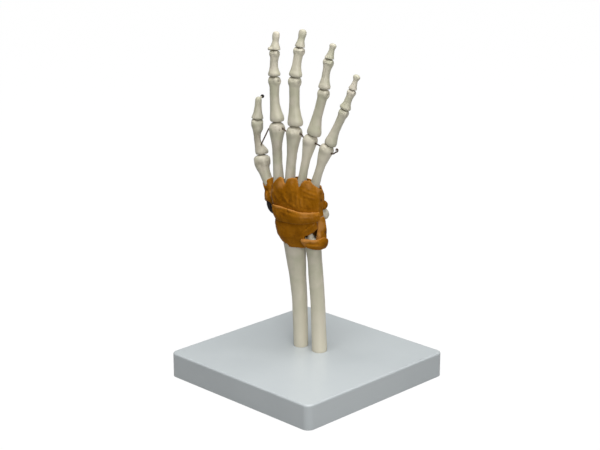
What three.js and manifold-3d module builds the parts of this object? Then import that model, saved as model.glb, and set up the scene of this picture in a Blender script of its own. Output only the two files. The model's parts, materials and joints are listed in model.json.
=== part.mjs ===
// An anatomical model of a right hand, standing on a square base, life size, in millimetres.
// +Z is up. The origin is at the middle of the base's underside, and the base's sides run along
// X and Y. The back of the hand faces -Y, the palm +Y, the thumb -X and the little finger +X.
import * as THREE from 'three';
import { mergeVertices } from 'three/addons/utils/BufferGeometryUtils.js';
import Module from 'manifold-3d';

const wasm = await Module();
wasm.setup();

// Base
const BASE_SIDE = 180;
const BASE_HEIGHT = 23.4;
const BASE_CORNER = 7;
const BASE_EDGE = 1.8;
const BASE_WALL = 2.6;
const BASE_TOP = 3.0;
const BOSS_RADIUS = 6;
const BOSS_DROP = 11;

// Fits between pieces
const FIT = 0.35;
const SOCKET_FIT = 0.7;
const LIGAMENT_FIT = 0.35;
const PISIFORM_BARE = 1.4;

// Screws that hold the forearm bones
const SCREW_RADIUS = 1.6;
const SCREW_HEAD_RADIUS = 4;
const SCREW_HEAD_HEIGHT = 2.4;
const SCREW_REACH = 14;

// Place of the hand on the base, and how far it is turned
const HAND_X = -5;
const HAND_Y = 9;
const HAND_TURN = 12;

// Forearm bones: level above the base, place across and through the hand, half width, half depth
const RADIUS_SECTIONS = [
  [0, -10.7, 1.3, 6.6, 6.5],
  [24, -11.0, 0.8, 6.8, 6.6],
  [48, -11.5, 0.3, 7.0, 6.7],
  [70, -13.5, 0, 7.9, 7.1],
  [87, -15.4, 0, 9.7, 7.6],
  [97, -16.4, 0.2, 10.6, 8.3],
  [104, -17.2, 0.4, 11.2, 9.2],
  [109.5, -19.2, 0.5, 13.0, 9.9],
  [113, -19.8, 0.5, 12.9, 9.6],
];
const ULNA_SECTIONS = [
  [0, 11.4, -1.1, 6.9, 6.8],
  [24, 10.2, -0.9, 6.6, 6.5],
  [48, 9.0, -0.6, 6.5, 6.4],
  [70, 7.0, -0.4, 6.7, 6.5],
  [87, 5.4, -0.2, 6.5, 6.3],
  [97, 4.2, -0.2, 6.9, 6.7],
  [103, 3.4, -0.4, 8.2, 7.7],
  [107, 3.2, -0.6, 8.3, 7.7],
  [109, 3.0, -0.6, 6.6, 6.2],
];
const STYLOID = { place: [3.9, -5.0], from: 104, height: 10.6, radius: 2.9 };
const FOREARM_LIFT = 0.3;

// Carpal bones: centre (across, through, up) and half sizes, in the hand's own frame
const CARPALS = {
  scaphoid: { at: [-27, 1.5, 121.5], half: [8.6, 8.8, 8.6], tone: 0.98 },
  lunate: { at: [-13.5, 1, 118.5], half: [7.6, 9.2, 7.2], tone: 0.96 },
  triquetrum: { at: [1, 2, 123.5], half: [8.4, 8.2, 7.4], tone: 1 },
  pisiform: { at: [7.4, 11.2, 129.4], half: [5.5, 5.2, 5.6], tone: 1.02 },
  trapezium: { at: [-40.6, 8.4, 130.6], half: [7.2, 7.4, 7.8], tone: 0.97 },
  trapezoid: { at: [-32.5, 0, 135], half: [6.6, 8.6, 7.4], tone: 1 },
  capitate: { at: [-19.5, 0, 132], half: [7.8, 9.6, 11], tone: 0.98 },
  hamate: { at: [-5, 1, 134.5], half: [8.8, 9.4, 8.6], tone: 1 },
};
const CARPAL_GAP = 0.7;
const METACARPAL_GAP = 1.8;

// Fingers. place: the metacarpal's base. Each bone: length between joint centres, lean towards
// the little finger and bend towards the palm, in degrees, and half sizes (width, depth). sway moves
// a bone's base and waist towards the little finger, and tuft is how far along its length a last
// bone is widest.
const FINGERS = {
  index: {
    place: [-32.6, 0, 143.2],
    roll: 0,
    metacarpal: { length: 62.6, lean: -3, bend: 0, base: [5.4, 7.2], waist: [4.2, 4.3], head: [7.1, 7.2] },
    phalanges: [
      {
        length: 43.7, lean: -5.5, bend: 3, sway: [0.9, -0.7],
        base: [6.7, 6.2], waist: [4.3, 3.9], head: [4.9, 4.6],
      },
      {
        length: 24.5, lean: -3, bend: 6, sway: [0, -0.5],
        base: [5.8, 5.2], waist: [3.6, 3.3], head: [4.2, 3.7],
      },
      {
        length: 19.9, lean: 0, bend: 9, tuft: 0.68,
        base: [5.8, 4.4], waist: [2.8, 2.3], head: [3.6, 2.5],
      },
    ],
  },
  middle: {
    place: [-21.6, -1.2, 144],
    roll: 0,
    metacarpal: { length: 60.5, lean: 5, bend: 0, base: [4.9, 7.4], waist: [4.3, 4.4], head: [7.2, 7.4] },
    phalanges: [
      {
        length: 46.7, lean: -1.5, bend: 3, sway: [1.2, 0.1],
        base: [7.3, 6.4], waist: [4.7, 4.1], head: [5.1, 4.9],
      },
      {
        length: 27.7, lean: 4.5, bend: 8, sway: [0.1, -0.2],
        base: [6.3, 5.2], waist: [4.0, 3.5], head: [4.5, 3.9],
      },
      {
        length: 19.7, lean: 7, bend: 11, tuft: 0.7,
        base: [5.2, 4.4], waist: [3.0, 2.4], head: [3.9, 2.6],
      },
    ],
  },
  ring: {
    place: [-11.4, -0.4, 143.4],
    roll: 0,
    metacarpal: { length: 56.9, lean: 11.8, bend: 0, base: [4.6, 6.8], waist: [3.6, 3.9], head: [6.6, 6.9] },
    phalanges: [
      {
        length: 45.6, lean: 15, bend: 4, sway: [1.6, 0.2],
        base: [6.8, 6.0], waist: [4.3, 3.8], head: [4.7, 4.6],
      },
      {
        length: 28.3, lean: 5, bend: 8, sway: [0, -0.4],
        base: [5.6, 5.0], waist: [3.4, 3.2], head: [4.2, 3.6],
      },
      {
        length: 17.1, lean: 12.5, bend: 10, tuft: 0.84,
        base: [4.8, 4.2], waist: [2.3, 2.1], head: [3.5, 2.4],
      },
    ],
  },
  little: {
    place: [-0.2, 1.8, 144.4],
    roll: 0,
    metacarpal: { length: 50.2, lean: 18.2, bend: 1, base: [5.6, 6.4], waist: [3.7, 3.6], head: [6.6, 6.4] },
    phalanges: [
      {
        length: 38.6, lean: 24, bend: 5, sway: [0.8, 0],
        base: [5.8, 5.4], waist: [3.7, 3.3], head: [4.2, 4.0],
      },
      {
        length: 19.8, lean: 18.5, bend: 8, sway: [-0.3, -0.3],
        base: [5.4, 4.5], waist: [3.2, 2.8], head: [3.6, 3.1],
      },
      {
        length: 16.6, lean: 15, bend: 10, tuft: 0.82,
        base: [4.4, 3.6], waist: [2.0, 1.8], head: [3.6, 2.3],
      },
    ],
  },
  thumb: {
    place: [-43.8, 9.2, 139.6],
    roll: 40,
    metacarpal: {
      length: 34.1, lean: -29.3, bend: 4.5, sway: [0, -1.8],
      base: [6.4, 6.2], waist: [4.8, 4.5], head: [7.9, 7.0], neck: [0.85, 0.76],
    },
    phalanges: [
      {
        length: 35.6, lean: -12.8, bend: 6, sway: [0.9, -1.4],
        base: [6.2, 5.6], waist: [3.3, 3.1], head: [5.3, 4.7],
      },
      {
        length: 25, lean: 1.5, bend: 4, tuft: 0.8,
        base: [6.0, 5.1], waist: [3.1, 2.7], head: [3.0, 2.7],
      },
    ],
  },
};
const METACARPAL_BOW = 1.4;
const CARPAL_CEILING = FINGERS.index.place[2] - METACARPAL_GAP;
const RIM_LAP = 0.5;

// Joint wires and how far each joint swings, in degrees: back, and towards the palm
const WIRE_RADIUS = 0.55;
const WIRE_SET = 6;
const BALL_RADIUS = 1.25;
const EYE_RADIUS = 1.9;
const BALL_STEPS = 4;
const WIRE_SIDES = 6;
const SWING = {
  knuckle: [10, 60],
  middle_joint: [0, 65],
  end_joint: [0, 45],
  thumb_knuckle: [0, 20],
  thumb_end_joint: [5, 50],
};
const SWING_SPARE = 2;
const SLOT_SPARE = 3;

// Threaded wire
const THREAD_RADIUS = 0.65;
const THREAD_STAND = 0.9;
const THREAD_STEPS = 50;
const CURL_RADIUS = 1.4;
const CURL_ANGLE = 288;
const CURL_STEPS = 9;
const CURL_START = [3.1, 0, 2.5];
const CURL_DRIFT = 0.12;
const CURL_LEAN = 0.14;
const TIE_BOTTOM = [-58.3, 9.8, 187.0];

// Thumb tip bead and its peg
const BEAD_RADIUS = 1.9;
const PEG_RADIUS = 1.0;
const BEAD_STAND = 5.2;
const BEAD_AT = [0.2, 1.2];
const BEAD_DROP = 2.5;
const BEAD_DIRECTION = [0.95, 0.85, 0.55];

// Wrist wrap, level above the base: place across and through, half width, half depth
const WRAP_SECTIONS = [
  [98.5, -6.4, 0.3, 20.4, 10.8],
  [104, -7.4, 0.3, 22.8, 11.9],
  [110, -9.4, 0.4, 25.6, 12.7],
  [116, -10.4, 0.6, 26.6, 13.0],
  [122, -10.8, 0.8, 26.0, 13.2],
  [128, -11.0, 0.8, 25.4, 13.3],
  [138, -13.2, 0.6, 26.2, 13.0],
  [150, -14.2, 0.2, 27.2, 12.4],
  [160, -14.6, -0.2, 27.0, 11.0],
  [170, -14.8, -0.4, 27.0, 9.8],
];
const WRAP_POWER = 2.6;
const WRAP_THICK = 2.2;
const WRAP_SLACK = 0.8;
const BAND_THICK = 2.3;

// Colours
const BONE = 0xc9c4ab;
const LIGAMENT = 0x96591f;
const WIRE = 0x6b4f3c;
const STEEL = 0x9a9c9e;
const BASE = 0xc6cccc;
const BLACK = 0x161312;

const DEGREE = Math.PI / 180;
const X_AXIS = new THREE.Vector3(1, 0, 0);
const Y_AXIS = new THREE.Vector3(0, 1, 0);
const Z_AXIS = new THREE.Vector3(0, 0, 1);

// Turns a closed geometry into a solid that can be joined and cut.
function solid(geometry, matrix = new THREE.Matrix4()) {
  let plain = geometry.clone().applyMatrix4(matrix);
  plain.deleteAttribute('normal');
  plain.deleteAttribute('uv');
  plain = mergeVertices(plain, 1e-4);
  const vertProperties = Float32Array.from(plain.attributes.position.array);
  const triVerts = Uint32Array.from(plain.index.array);
  return new wasm.Manifold(new wasm.Mesh({ numProp: 3, vertProperties, triVerts }));
}

// Turns a solid back into a geometry.
function shape(body) {
  const mesh = body.getMesh();
  const geometry = new THREE.BufferGeometry();
  geometry.setAttribute('position', new THREE.BufferAttribute(mesh.vertProperties, 3));
  geometry.setIndex(new THREE.BufferAttribute(mesh.triVerts, 1));
  geometry.computeVertexNormals();
  return geometry;
}

function part(name, body, color, roughness = 0.55, metalness = 0) {
  const material = new THREE.MeshStandardMaterial({ color, roughness, metalness });
  const mesh = new THREE.Mesh(body.isBufferGeometry ? body : shape(body), material);
  mesh.name = name;
  return mesh;
}

// Closes a stack of equal rings, each a list of points that runs anticlockwise seen from above.
function loft(rings) {
  const sides = rings[0].length;
  const points = rings.flat();
  const faces = [];
  for (let level = 0; level + 1 < rings.length; level += 1) {
    for (let side = 0; side < sides; side += 1) {
      const here = level * sides + side;
      const beside = level * sides + ((side + 1) % sides);
      faces.push(here, beside, beside + sides, here, beside + sides, here + sides);
    }
  }
  for (const [level, flip] of [[0, true], [rings.length - 1, false]]) {
    const middle = points.length;
    const centre = new THREE.Vector3();
    rings[level].forEach((point) => centre.add(point));
    points.push(centre.divideScalar(sides));
    for (let side = 0; side < sides; side += 1) {
      const here = level * sides + side;
      const beside = level * sides + ((side + 1) % sides);
      faces.push(middle, flip ? beside : here, flip ? here : beside);
    }
  }
  const geometry = new THREE.BufferGeometry().setFromPoints(points);
  geometry.setIndex(faces);
  return geometry;
}

// One rounded section of a bone or of the wrist wrap. flat draws in the palm side.
function section(level, across, through, halfWidth, halfDepth, { sides = 12, power = 2.2, flat = 1 } = {}) {
  const ring = [];
  for (let side = 0; side < sides; side += 1) {
    const angle = (side / sides) * 2 * Math.PI;
    const x = Math.sign(Math.cos(angle)) * Math.abs(Math.cos(angle)) ** (2 / power);
    const y = Math.sign(Math.sin(angle)) * Math.abs(Math.sin(angle)) ** (2 / power);
    ring.push(new THREE.Vector3(across + halfWidth * x, through + halfDepth * y * (y > 0 ? flat : 1), level));
  }
  return ring;
}

// Values between the rows of a table whose first column is the level.
function between(table, level) {
  const last = table.length - 1;
  const clamped = Math.min(Math.max(level, table[0][0]), table[last][0]);
  let row = 0;
  while (row < last - 1 && table[row + 1][0] < clamped) row += 1;
  const share = (clamped - table[row][0]) / (table[row + 1][0] - table[row][0]);
  return table[row].map((value, column) => value + (table[row + 1][column] - value) * share);
}

function moved(x, y, z) {
  return new THREE.Matrix4().makeTranslation(x, y, z);
}

function placing(point, turn) {
  return new THREE.Matrix4().compose(point, turn, new THREE.Vector3(1, 1, 1));
}

// A round rod along X, Y or Z, centred on the origin.
function rod(radius, length, axis = Z_AXIS, sides = 12) {
  const geometry = new THREE.CylinderGeometry(radius, radius, length, sides);
  geometry.applyQuaternion(new THREE.Quaternion().setFromUnitVectors(Y_AXIS, axis));
  return geometry;
}

// The head of a bone turned about the hinge axis X: two condyles with a shallow groove between
// them on a phalanx, or a round knob on a metacarpal. grow widens it into a socket cutter.
const KNOB = [[0, 1], [0.4, 0.94], [0.72, 0.74], [0.94, 0.44]];
const KNOB_SIDES = 13;
const CONDYLE_SIDES = 11;
const CONDYLES = [[0, 0.92], [0.55, 1], [0.96, 0.84]];
function barrel([halfWidth, radius], round, grow = 0) {
  const sides = round ? KNOB_SIDES : CONDYLE_SIDES;
  const profile = round ? KNOB : CONDYLES;
  const half = profile.map(([x, r]) => [x * (halfWidth + grow), r * radius + grow]);
  const right = [...half, [halfWidth + grow, 0]];
  const left = half.slice(1).map(([x, r]) => [-x, r]).reverse();
  const outline = [[-halfWidth - grow, 0], ...left, ...right];
  const points = outline.map(([x, r]) => new THREE.Vector2(r, x));
  const geometry = new THREE.LatheGeometry(points, sides);
  geometry.applyQuaternion(new THREE.Quaternion().setFromUnitVectors(Y_AXIS, X_AXIS));
  return geometry;
}

// Which way a bone points: leaning about Y, bent about X, and rolled about its own length.
function pointing({ lean, bend }, roll = 0) {
  const turn = new THREE.Quaternion().setFromAxisAngle(Y_AXIS, lean * DEGREE);
  turn.multiply(new THREE.Quaternion().setFromAxisAngle(X_AXIS, -bend * DEGREE));
  return turn.multiply(new THREE.Quaternion().setFromAxisAngle(Z_AXIS, roll * DEGREE));
}

// The slot that lets a joint wire swing, in the plane across the hinge axis, with the pocket for
// the wire's end at its root. back and forth are angles from the outer bone's direction.
function swingSlot([back, forth], radius, pocket) {
  const gap = WIRE_RADIUS + FIT;
  const reach = radius + SLOT_SPARE;
  const first = 90 - forth - SWING_SPARE;
  const last = 90 + back + SWING_SPARE;
  const hub = new THREE.Vector2();
  const ray = (angle, length) => new THREE.Vector2(length, 0).rotateAround(hub, angle * DEGREE);
  const points = [ray(first - 90, gap), ray(first - 90, gap).add(ray(first, reach))];
  const steps = 3;
  for (let step = 0; step <= steps; step += 1) {
    points.push(ray(first + (step / steps) * (last - first), reach));
  }
  points.push(ray(last + 90, gap).add(ray(last, reach)), ray(last + 90, gap));
  const slot = new THREE.ExtrudeGeometry(new THREE.Shape(points), { depth: 2 * gap, bevelEnabled: false });
  slot.translate(0, 0, -gap);
  slot.applyMatrix4(new THREE.Matrix4().makeBasis(Y_AXIS, Z_AXIS, X_AXIS));
  return solid(slot).add(solid(rod(pocket, 2 * pocket, X_AXIS, 8)));
}

// The joint wire: a shank set in the outer bone, with a ball on the hinge axis, which is drilled
// where the threaded wire passes through it.
function jointWire(headRadius, threaded) {
  const ball = threaded ? EYE_RADIUS : BALL_RADIUS;
  const tip = headRadius + SOCKET_FIT + WIRE_SET;
  const outline = [new THREE.Vector2(0, -ball)];
  const neck = Math.asin(WIRE_RADIUS / ball);
  for (let step = 1; step <= BALL_STEPS; step += 1) {
    const angle = Math.PI - (step / BALL_STEPS) * (Math.PI - neck);
    outline.push(new THREE.Vector2(ball * Math.sin(angle), ball * Math.cos(angle)));
  }
  outline.push(new THREE.Vector2(WIRE_RADIUS, tip), new THREE.Vector2(0, tip));
  const geometry = new THREE.LatheGeometry(outline, WIRE_SIDES).rotateX(Math.PI / 2);
  if (!threaded) return geometry;
  return solid(geometry).subtract(solid(rod(THREAD_RADIUS + FIT, 3 * ball, X_AXIS, WIRE_SIDES)));
}

// The bore in the outer bone that the joint wire is set in.
function wireBore(headRadius) {
  const depth = headRadius + SOCKET_FIT + WIRE_SET + FIT;
  return solid(rod(WIRE_RADIUS + FIT, depth, Z_AXIS, WIRE_SIDES), moved(0, 0, depth / 2));
}

// One bone of a finger, its inner joint centre at the origin and its length along +Z. socket is
// the head that it sits on, and next is what it carries: the head turned to the next bone.
function phalanx({ length, base, waist, head: tip, tuft, sway = [0, 0] }, socket, next) {
  const rim = socket.size[1] - RIM_LAP;
  const body = length - rim;
  const shaft = base.map((size, side) => (size + waist[side]) * 0.5);
  const middle = (sway[0] + sway[1]) * 0.5;
  const table = [
    [rim, base[0] * 0.86, base[1] * 0.86, sway[0] * 0.8],
    [rim + 0.9, base[0] * 0.98, base[1] * 0.97, sway[0]],
  ];
  if (next) {
    const end = length - tip[1] * 0.2;
    table.push([rim + 0.08 * body + 0.8, base[0], base[1], sway[0]]);
    table.push([rim + 0.24 * body, shaft[0], shaft[1], middle]);
    table.push([rim + 0.43 * body, waist[0] * 1.04, waist[1] * 1.04, sway[1]]);
    table.push([rim + 0.66 * body, waist[0], waist[1], sway[1]]);
    table.push([end - tip[1], tip[0] * 0.94, tip[1] * 0.88, 0]);
    table.push([end, tip[0] * 0.96, tip[1] * 0.88, 0]);
  } else {
    table.push([rim + 0.13 * body, base[0] * 0.84, base[1] * 0.88, 0]);
    table.push([rim + 0.3 * body, shaft[0] * 0.86, shaft[1] * 0.92, 0]);
    table.push([rim + (tuft - 0.2) * body, waist[0], waist[1], 0]);
    table.push([rim + tuft * body, tip[0] * 0.98, tip[1], 0]);
    table.push([rim + (0.45 + tuft * 0.55) * body, tip[0], tip[1] * 0.94, 0]);
    table.push([rim + 0.93 * body, tip[0] * 0.88, tip[1] * 0.82, 0]);
    table.push([rim + 0.98 * body, tip[0] * 0.64, tip[1] * 0.6, 0]);
    table.push([length, tip[0] * 0.28, tip[1] * 0.28, 0]);
  }
  const sides = socket.round ? 12 : 10;
  const rings = table.map(([level, wide, deep, across]) => (
    section(level, across, 0, wide, deep, { flat: 0.86, sides })
  ));
  let bone = solid(loft(rings));
  if (next) bone = joinHead(bone, length, next);
  bone = bone.subtract(solid(barrel(socket.size, socket.round, SOCKET_FIT)));
  return bone.subtract(wireBore(socket.size[1]));
}

// Puts a head on the end of a bone and clears the wire's slot through both.
function joinHead(bone, length, { size, round, swing, threaded, turn }) {
  const place = placing(new THREE.Vector3(0, 0, length), turn);
  const knob = solid(barrel(size, round), place);
  const pocket = (threaded ? EYE_RADIUS : BALL_RADIUS) + FIT;
  const slot = swingSlot(swing, size[1], pocket).transform(place.elements);
  let joined = bone.add(knob).subtract(slot);
  if (threaded) {
    joined = joined.subtract(solid(rod(THREAD_RADIUS + FIT, 4 * size[0], X_AXIS, WIRE_SIDES), place));
  }
  return joined;
}

// A metacarpal, its base at the origin and its length along +Z, bowed towards the back of the hand.
// neck is where the head ends, in radii of the head below its centre, and its share of the width.
function metacarpalTable({ length, base, waist, head: tip, sway = [0, 0], neck = [1.25, 0.84] }) {
  const flare = (sway[0] + sway[1]) * 0.5;
  return [
    [0, base[0] * 0.86, base[1] * 0.86, sway[0]],
    [1.6, base[0], base[1], sway[0]],
    [0.13 * length, base[0] * 0.95, base[1] * 0.88, sway[0]],
    [0.27 * length, (base[0] + waist[0]) * 0.48, (base[1] + waist[1]) * 0.46, flare],
    [0.5 * length, waist[0], waist[1], sway[1]],
    [0.7 * length, waist[0] * 1.06, waist[1] * 1.06, sway[1] * 0.9],
    [length - tip[1] * neck[0], tip[0] * neck[1], tip[1] * (neck[1] - 0.04), sway[1] * 0.75],
    [length - tip[1] * 0.5, tip[0] * 0.97, tip[1] * 0.84, sway[1] * 0.2],
    [length, tip[0] * 0.8, tip[1] * 0.6, 0],
  ];
}

function metacarpalBody(spec, grow = 0) {
  const rings = metacarpalTable(spec).map(([level, wide, deep, across]) => {
    const bow = -METACARPAL_BOW * Math.sin(Math.PI * level / spec.length);
    return section(level, across, bow, wide + grow, deep + grow, { flat: 0.92 });
  });
  return solid(loft(rings));
}

// Radius and ulna, each drilled from below for its screw.
function forearmBone(sections, grow = 0) {
  const rings = sections.map(([level, across, through, wide, deep]) => {
    const lift = level === 0 ? FOREARM_LIFT : 0;
    return section(level + lift, across, through, wide + grow, deep + grow, { sides: 14 });
  });
  return solid(loft(rings));
}

function screwPilot([, across, through]) {
  const depth = SCREW_REACH + 2 * FIT;
  return solid(rod(SCREW_RADIUS + FIT, depth), moved(across, through, depth / 2));
}

function styloid(grow = 0) {
  const { place, from, height, radius } = STYLOID;
  const rings = [[0, 1.1], [0.55, 1], [0.84, 0.86], [1, 0.5]].map(([share, size]) => {
    const half = radius * size + grow;
    return section(from + share * height, place[0], place[1], half, half, { sides: 10 });
  });
  return solid(loft(rings));
}

function pebble({ at, half }, grow = 0, rows = 7, sides = 11) {
  const ball = new THREE.SphereGeometry(1, sides, rows).rotateX(Math.PI / 2);
  ball.scale(...half.map((size) => size + grow));
  return solid(ball.translate(...at));
}

// Takes away what lies beyond a plane, given by a point on it and its outward direction.
const FAR = 80;
function trimBeyond(body, point, normal) {
  const block = new THREE.BoxGeometry(FAR, FAR, FAR).translate(0, 0, FAR / 2);
  const turn = new THREE.Quaternion().setFromUnitVectors(Z_AXIS, normal);
  return body.subtract(solid(block, placing(point, turn)));
}

// Flat faces between two neighbouring carpal bones, halfway between their surfaces.
function carpalFaces(name) {
  const own = CARPALS[name];
  const at = new THREE.Vector3(...own.at);
  const reach = (half, normal) => Math.hypot(half[0] * normal.x, half[1] * normal.y, half[2] * normal.z);
  return Object.entries(CARPALS).filter(([other]) => other !== name).map(([, neighbour]) => {
    const towards = new THREE.Vector3(...neighbour.at).sub(at);
    const distance = towards.length();
    const normal = towards.normalize();
    const mine = reach(own.half, normal);
    const theirs = reach(neighbour.half, normal);
    const share = (distance * mine) / (mine + theirs) - CARPAL_GAP / 2;
    return { point: at.clone().addScaledVector(normal, share), normal };
  });
}

// A point on the wrist wrap. Angles run from the little-finger side over the palm.
function wrapPoint(angle, level, offset) {
  const [, across, through, wide, deep] = between(WRAP_SECTIONS, level);
  const turn = angle * DEGREE;
  const x = Math.sign(Math.cos(turn)) * Math.abs(Math.cos(turn)) ** (2 / WRAP_POWER);
  const y = Math.sign(Math.sin(turn)) * Math.abs(Math.sin(turn)) ** (2 / WRAP_POWER);
  return new THREE.Vector3(across + (wide + offset) * x, through + (deep + offset) * y, level);
}

// The whole wrap as one block, from its bottom to its top.
function wrapBlock(offset, bottom, top) {
  const rings = [];
  const steps = 9;
  for (let step = 0; step <= steps; step += 1) {
    const level = bottom + (step / steps) * (top - bottom);
    const ring = [];
    for (let side = 0; side < 24; side += 1) ring.push(wrapPoint(side * 15, level, offset));
    rings.push(ring);
  }
  return solid(loft(rings));
}

// One ligament sheet on the wrap. edges lists columns, each an angle with its lower and upper level.
function sheet(edges, inner, outer, { rows = 3, lip = 0.5 } = {}) {
  const points = [];
  const columns = edges.length;
  const layer = columns * (rows + 1);
  for (const face of [outer, inner]) {
    edges.forEach(([angle, low, high], column) => {
      for (let row = 0; row <= rows; row += 1) {
        const border = column === 0 || column === columns - 1 || row === 0 || row === rows;
        const offset = face === outer && border ? inner + lip * (outer - inner) : face;
        points.push(wrapPoint(angle, low + (row / rows) * (high - low), offset));
      }
    });
  }
  const faces = [];
  const at = (column, row, back) => column * (rows + 1) + row + (back ? layer : 0);
  const quad = (a, b, c, d) => faces.push(a, b, c, a, c, d);
  for (let column = 0; column + 1 < columns; column += 1) {
    for (let row = 0; row < rows; row += 1) {
      quad(at(column, row), at(column + 1, row), at(column + 1, row + 1), at(column, row + 1));
      quad(at(column, row, 1), at(column, row + 1, 1), at(column + 1, row + 1, 1), at(column + 1, row, 1));
    }
    quad(at(column, 0), at(column, 0, 1), at(column + 1, 0, 1), at(column + 1, 0));
    quad(at(column, rows), at(column + 1, rows), at(column + 1, rows, 1), at(column, rows, 1));
  }
  for (let row = 0; row < rows; row += 1) {
    quad(at(0, row), at(0, row + 1), at(0, row + 1, 1), at(0, row, 1));
    const end = columns - 1;
    quad(at(end, row), at(end, row, 1), at(end, row + 1, 1), at(end, row + 1));
  }
  const geometry = new THREE.BufferGeometry().setFromPoints(points);
  geometry.setIndex(faces);
  return solid(geometry);
}

// The ligament sheets on the back of the wrist, then those of its sides and of the palm side. Each
// lies in the under or the over layer, and a lump is a swelling on a sheet.
const WRAP_BOTTOM = 98.5;
const STRAP_BOTTOM = 101;
const SEAM_DROP = 2;
const SEAM_GAP = 0.4;
const WRAP_SEAM = CARPALS.capitate.at[2] - SEAM_DROP;
const SHEETS = {
  dorsal_carpometacarpal_ligament: {
    layer: 'under',
    edges: [
      [188, WRAP_SEAM, 149], [203, WRAP_SEAM, 151.5], [216, WRAP_SEAM, 155], [228, WRAP_SEAM, 158.5],
      [240, WRAP_SEAM, 162], [249, WRAP_SEAM, 164], [256, WRAP_SEAM, 162.5], [260, WRAP_SEAM, 157.5],
      [265, WRAP_SEAM, 163], [272, WRAP_SEAM, 165], [279, WRAP_SEAM, 165], [284, WRAP_SEAM, 156.5],
      [290, WRAP_SEAM, 161], [297, WRAP_SEAM, 164], [314, WRAP_SEAM, 164.4], [324, WRAP_SEAM, 161],
      [342, WRAP_SEAM, 158], [366, WRAP_SEAM, 155],
    ],
  },
  dorsal_radiocarpal_ligament: {
    layer: 'under',
    edges: [
      [199, WRAP_BOTTOM, WRAP_SEAM], [213, WRAP_BOTTOM, WRAP_SEAM], [228, WRAP_BOTTOM, WRAP_SEAM],
      [242, WRAP_BOTTOM, WRAP_SEAM], [256, 99, WRAP_SEAM], [268, 99.6, WRAP_SEAM],
      [279, 100.4, WRAP_SEAM], [287, 100.8, WRAP_SEAM], [289, 111.7, WRAP_SEAM],
      [303, 114.2, WRAP_SEAM], [318, 117, WRAP_SEAM], [331, 120, WRAP_SEAM],
    ],
  },
  ulnar_collateral_ligament: {
    layer: 'under',
    edges: [
      [325, STRAP_BOTTOM, 111.8], [329.2, STRAP_BOTTOM, 115], [332.4, STRAP_BOTTOM, 119.2],
      [337, STRAP_BOTTOM, 128.6], [352, STRAP_BOTTOM, WRAP_SEAM],
      [366, STRAP_BOTTOM, WRAP_SEAM], [378, STRAP_BOTTOM, 127],
    ],
  },
  radial_collateral_ligament: {
    layer: 'under',
    edges: [
      [158, WRAP_BOTTOM, 122], [172, WRAP_BOTTOM, 121], [185, WRAP_BOTTOM, 122],
      [196, WRAP_BOTTOM, 128],
    ],
  },
  palmar_radiocarpal_ligament: {
    layer: 'under',
    edges: [
      [20, WRAP_BOTTOM, 124], [36, WRAP_BOTTOM, 125], [54, WRAP_BOTTOM, 127], [72, WRAP_BOTTOM, 129],
      [90, WRAP_BOTTOM, 130], [108, WRAP_BOTTOM, 130], [126, WRAP_BOTTOM, 130], [142, WRAP_BOTTOM, 129],
      [156, WRAP_BOTTOM, 128],
    ],
  },
  palmar_carpometacarpal_ligament: {
    layer: 'under',
    lump: { at: [8.7, 8.0, 138.8], half: [4.7, 4.6, 4.2] },
    edges: [
      [10, 140, 153], [26, 139, 155], [44, 137, 157], [62, 134, 160], [80, 131.5, 161],
      [98, 131, 161], [116, 131, 159], [134, 132, 157], [150, 133, 154],
    ],
  },
  dorsal_intercarpal_ligament: {
    layer: 'over',
    edges: [
      [212, 127, 135.4], [225, 124.6, 137], [240, 123.3, 137.1], [255, 123, 136.8], [270, 122.9, 135.8],
      [285, 123.8, 134.6], [300, 125.2, 134.6], [314, 126.2, 135], [328, 127, 135.6], [341, 128.4, 135.8],
    ],
  },
  distal_radioulnar_ligament: {
    layer: 'over',
    edges: [
      [281, 105.8, 109.6], [287, 103.6, 110.4], [295, 102, 110.4], [306, 101, 110], [319, 100.4, 110],
      [333, 100.4, 111], [348, 100.2, 112], [362, 100.2, 110], [374, 101.4, 107],
    ],
  },
  flexor_retinaculum: {
    layer: 'over',
    edges: [
      [47, 127, 141], [60, 126.6, 143], [74, 126.6, 144], [90, 126.6, 144.6], [106, 126.6, 144.6],
      [122, 127, 144], [136, 128, 143], [147, 129, 141],
    ],
  },
};
const CLAIM_ANGLE = 1.6;
const LAYERS = {
  under: [-WRAP_THICK, 0],
  over: [FIT, FIT + BAND_THICK],
};

// The sleeve round the thumb's first joint, as levels along the thumb's metacarpal with the radius
// at each, and the black pad below it.
const SLEEVE_RINGS = [[-9.7, 8.2], [-4.6, 9.8], [-0.5, 10.8], [3.5, 9.4], [7.5, 7.4], [12, 6.9], [16, 6.4]];
const PAD = { at: [-44.6, 4.6, 131], half: [4.6, 5.4, 8.6], tilt: -24 };

function sleeve(place, turn) {
  const rings = SLEEVE_RINGS.map(([level, radius]) => {
    const start = level < 0 ? -0.35 * level : 0;
    return section(level, start, level < 0 ? -0.2 * start : -0.4, radius, radius, { sides: 14 });
  });
  return solid(loft(rings), placing(place, turn));
}

// The bead on its peg, which stands on the palm side of the thumb's tip.
function tipBead({ length, head: tip }) {
  const rise = BEAD_AT[1] * tip[1];
  const neck = Math.sqrt(BEAD_RADIUS ** 2 - PEG_RADIUS ** 2);
  const outline = [[0, 0], [PEG_RADIUS, 0], [PEG_RADIUS, BEAD_STAND - neck]];
  for (const angle of [120, 85, 45]) {
    const turn = angle * DEGREE;
    outline.push([BEAD_RADIUS * Math.sin(turn), BEAD_STAND + BEAD_RADIUS * Math.cos(turn)]);
  }
  outline.push([0, BEAD_STAND + BEAD_RADIUS]);
  const bead = new THREE.LatheGeometry(outline.map(([x, y]) => new THREE.Vector2(x, y)), 9);
  const direction = new THREE.Vector3(...BEAD_DIRECTION).normalize();
  bead.applyQuaternion(new THREE.Quaternion().setFromUnitVectors(Y_AXIS, direction));
  return bead.translate(BEAD_AT[0] * tip[0], rise, length - BEAD_DROP);
}

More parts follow.
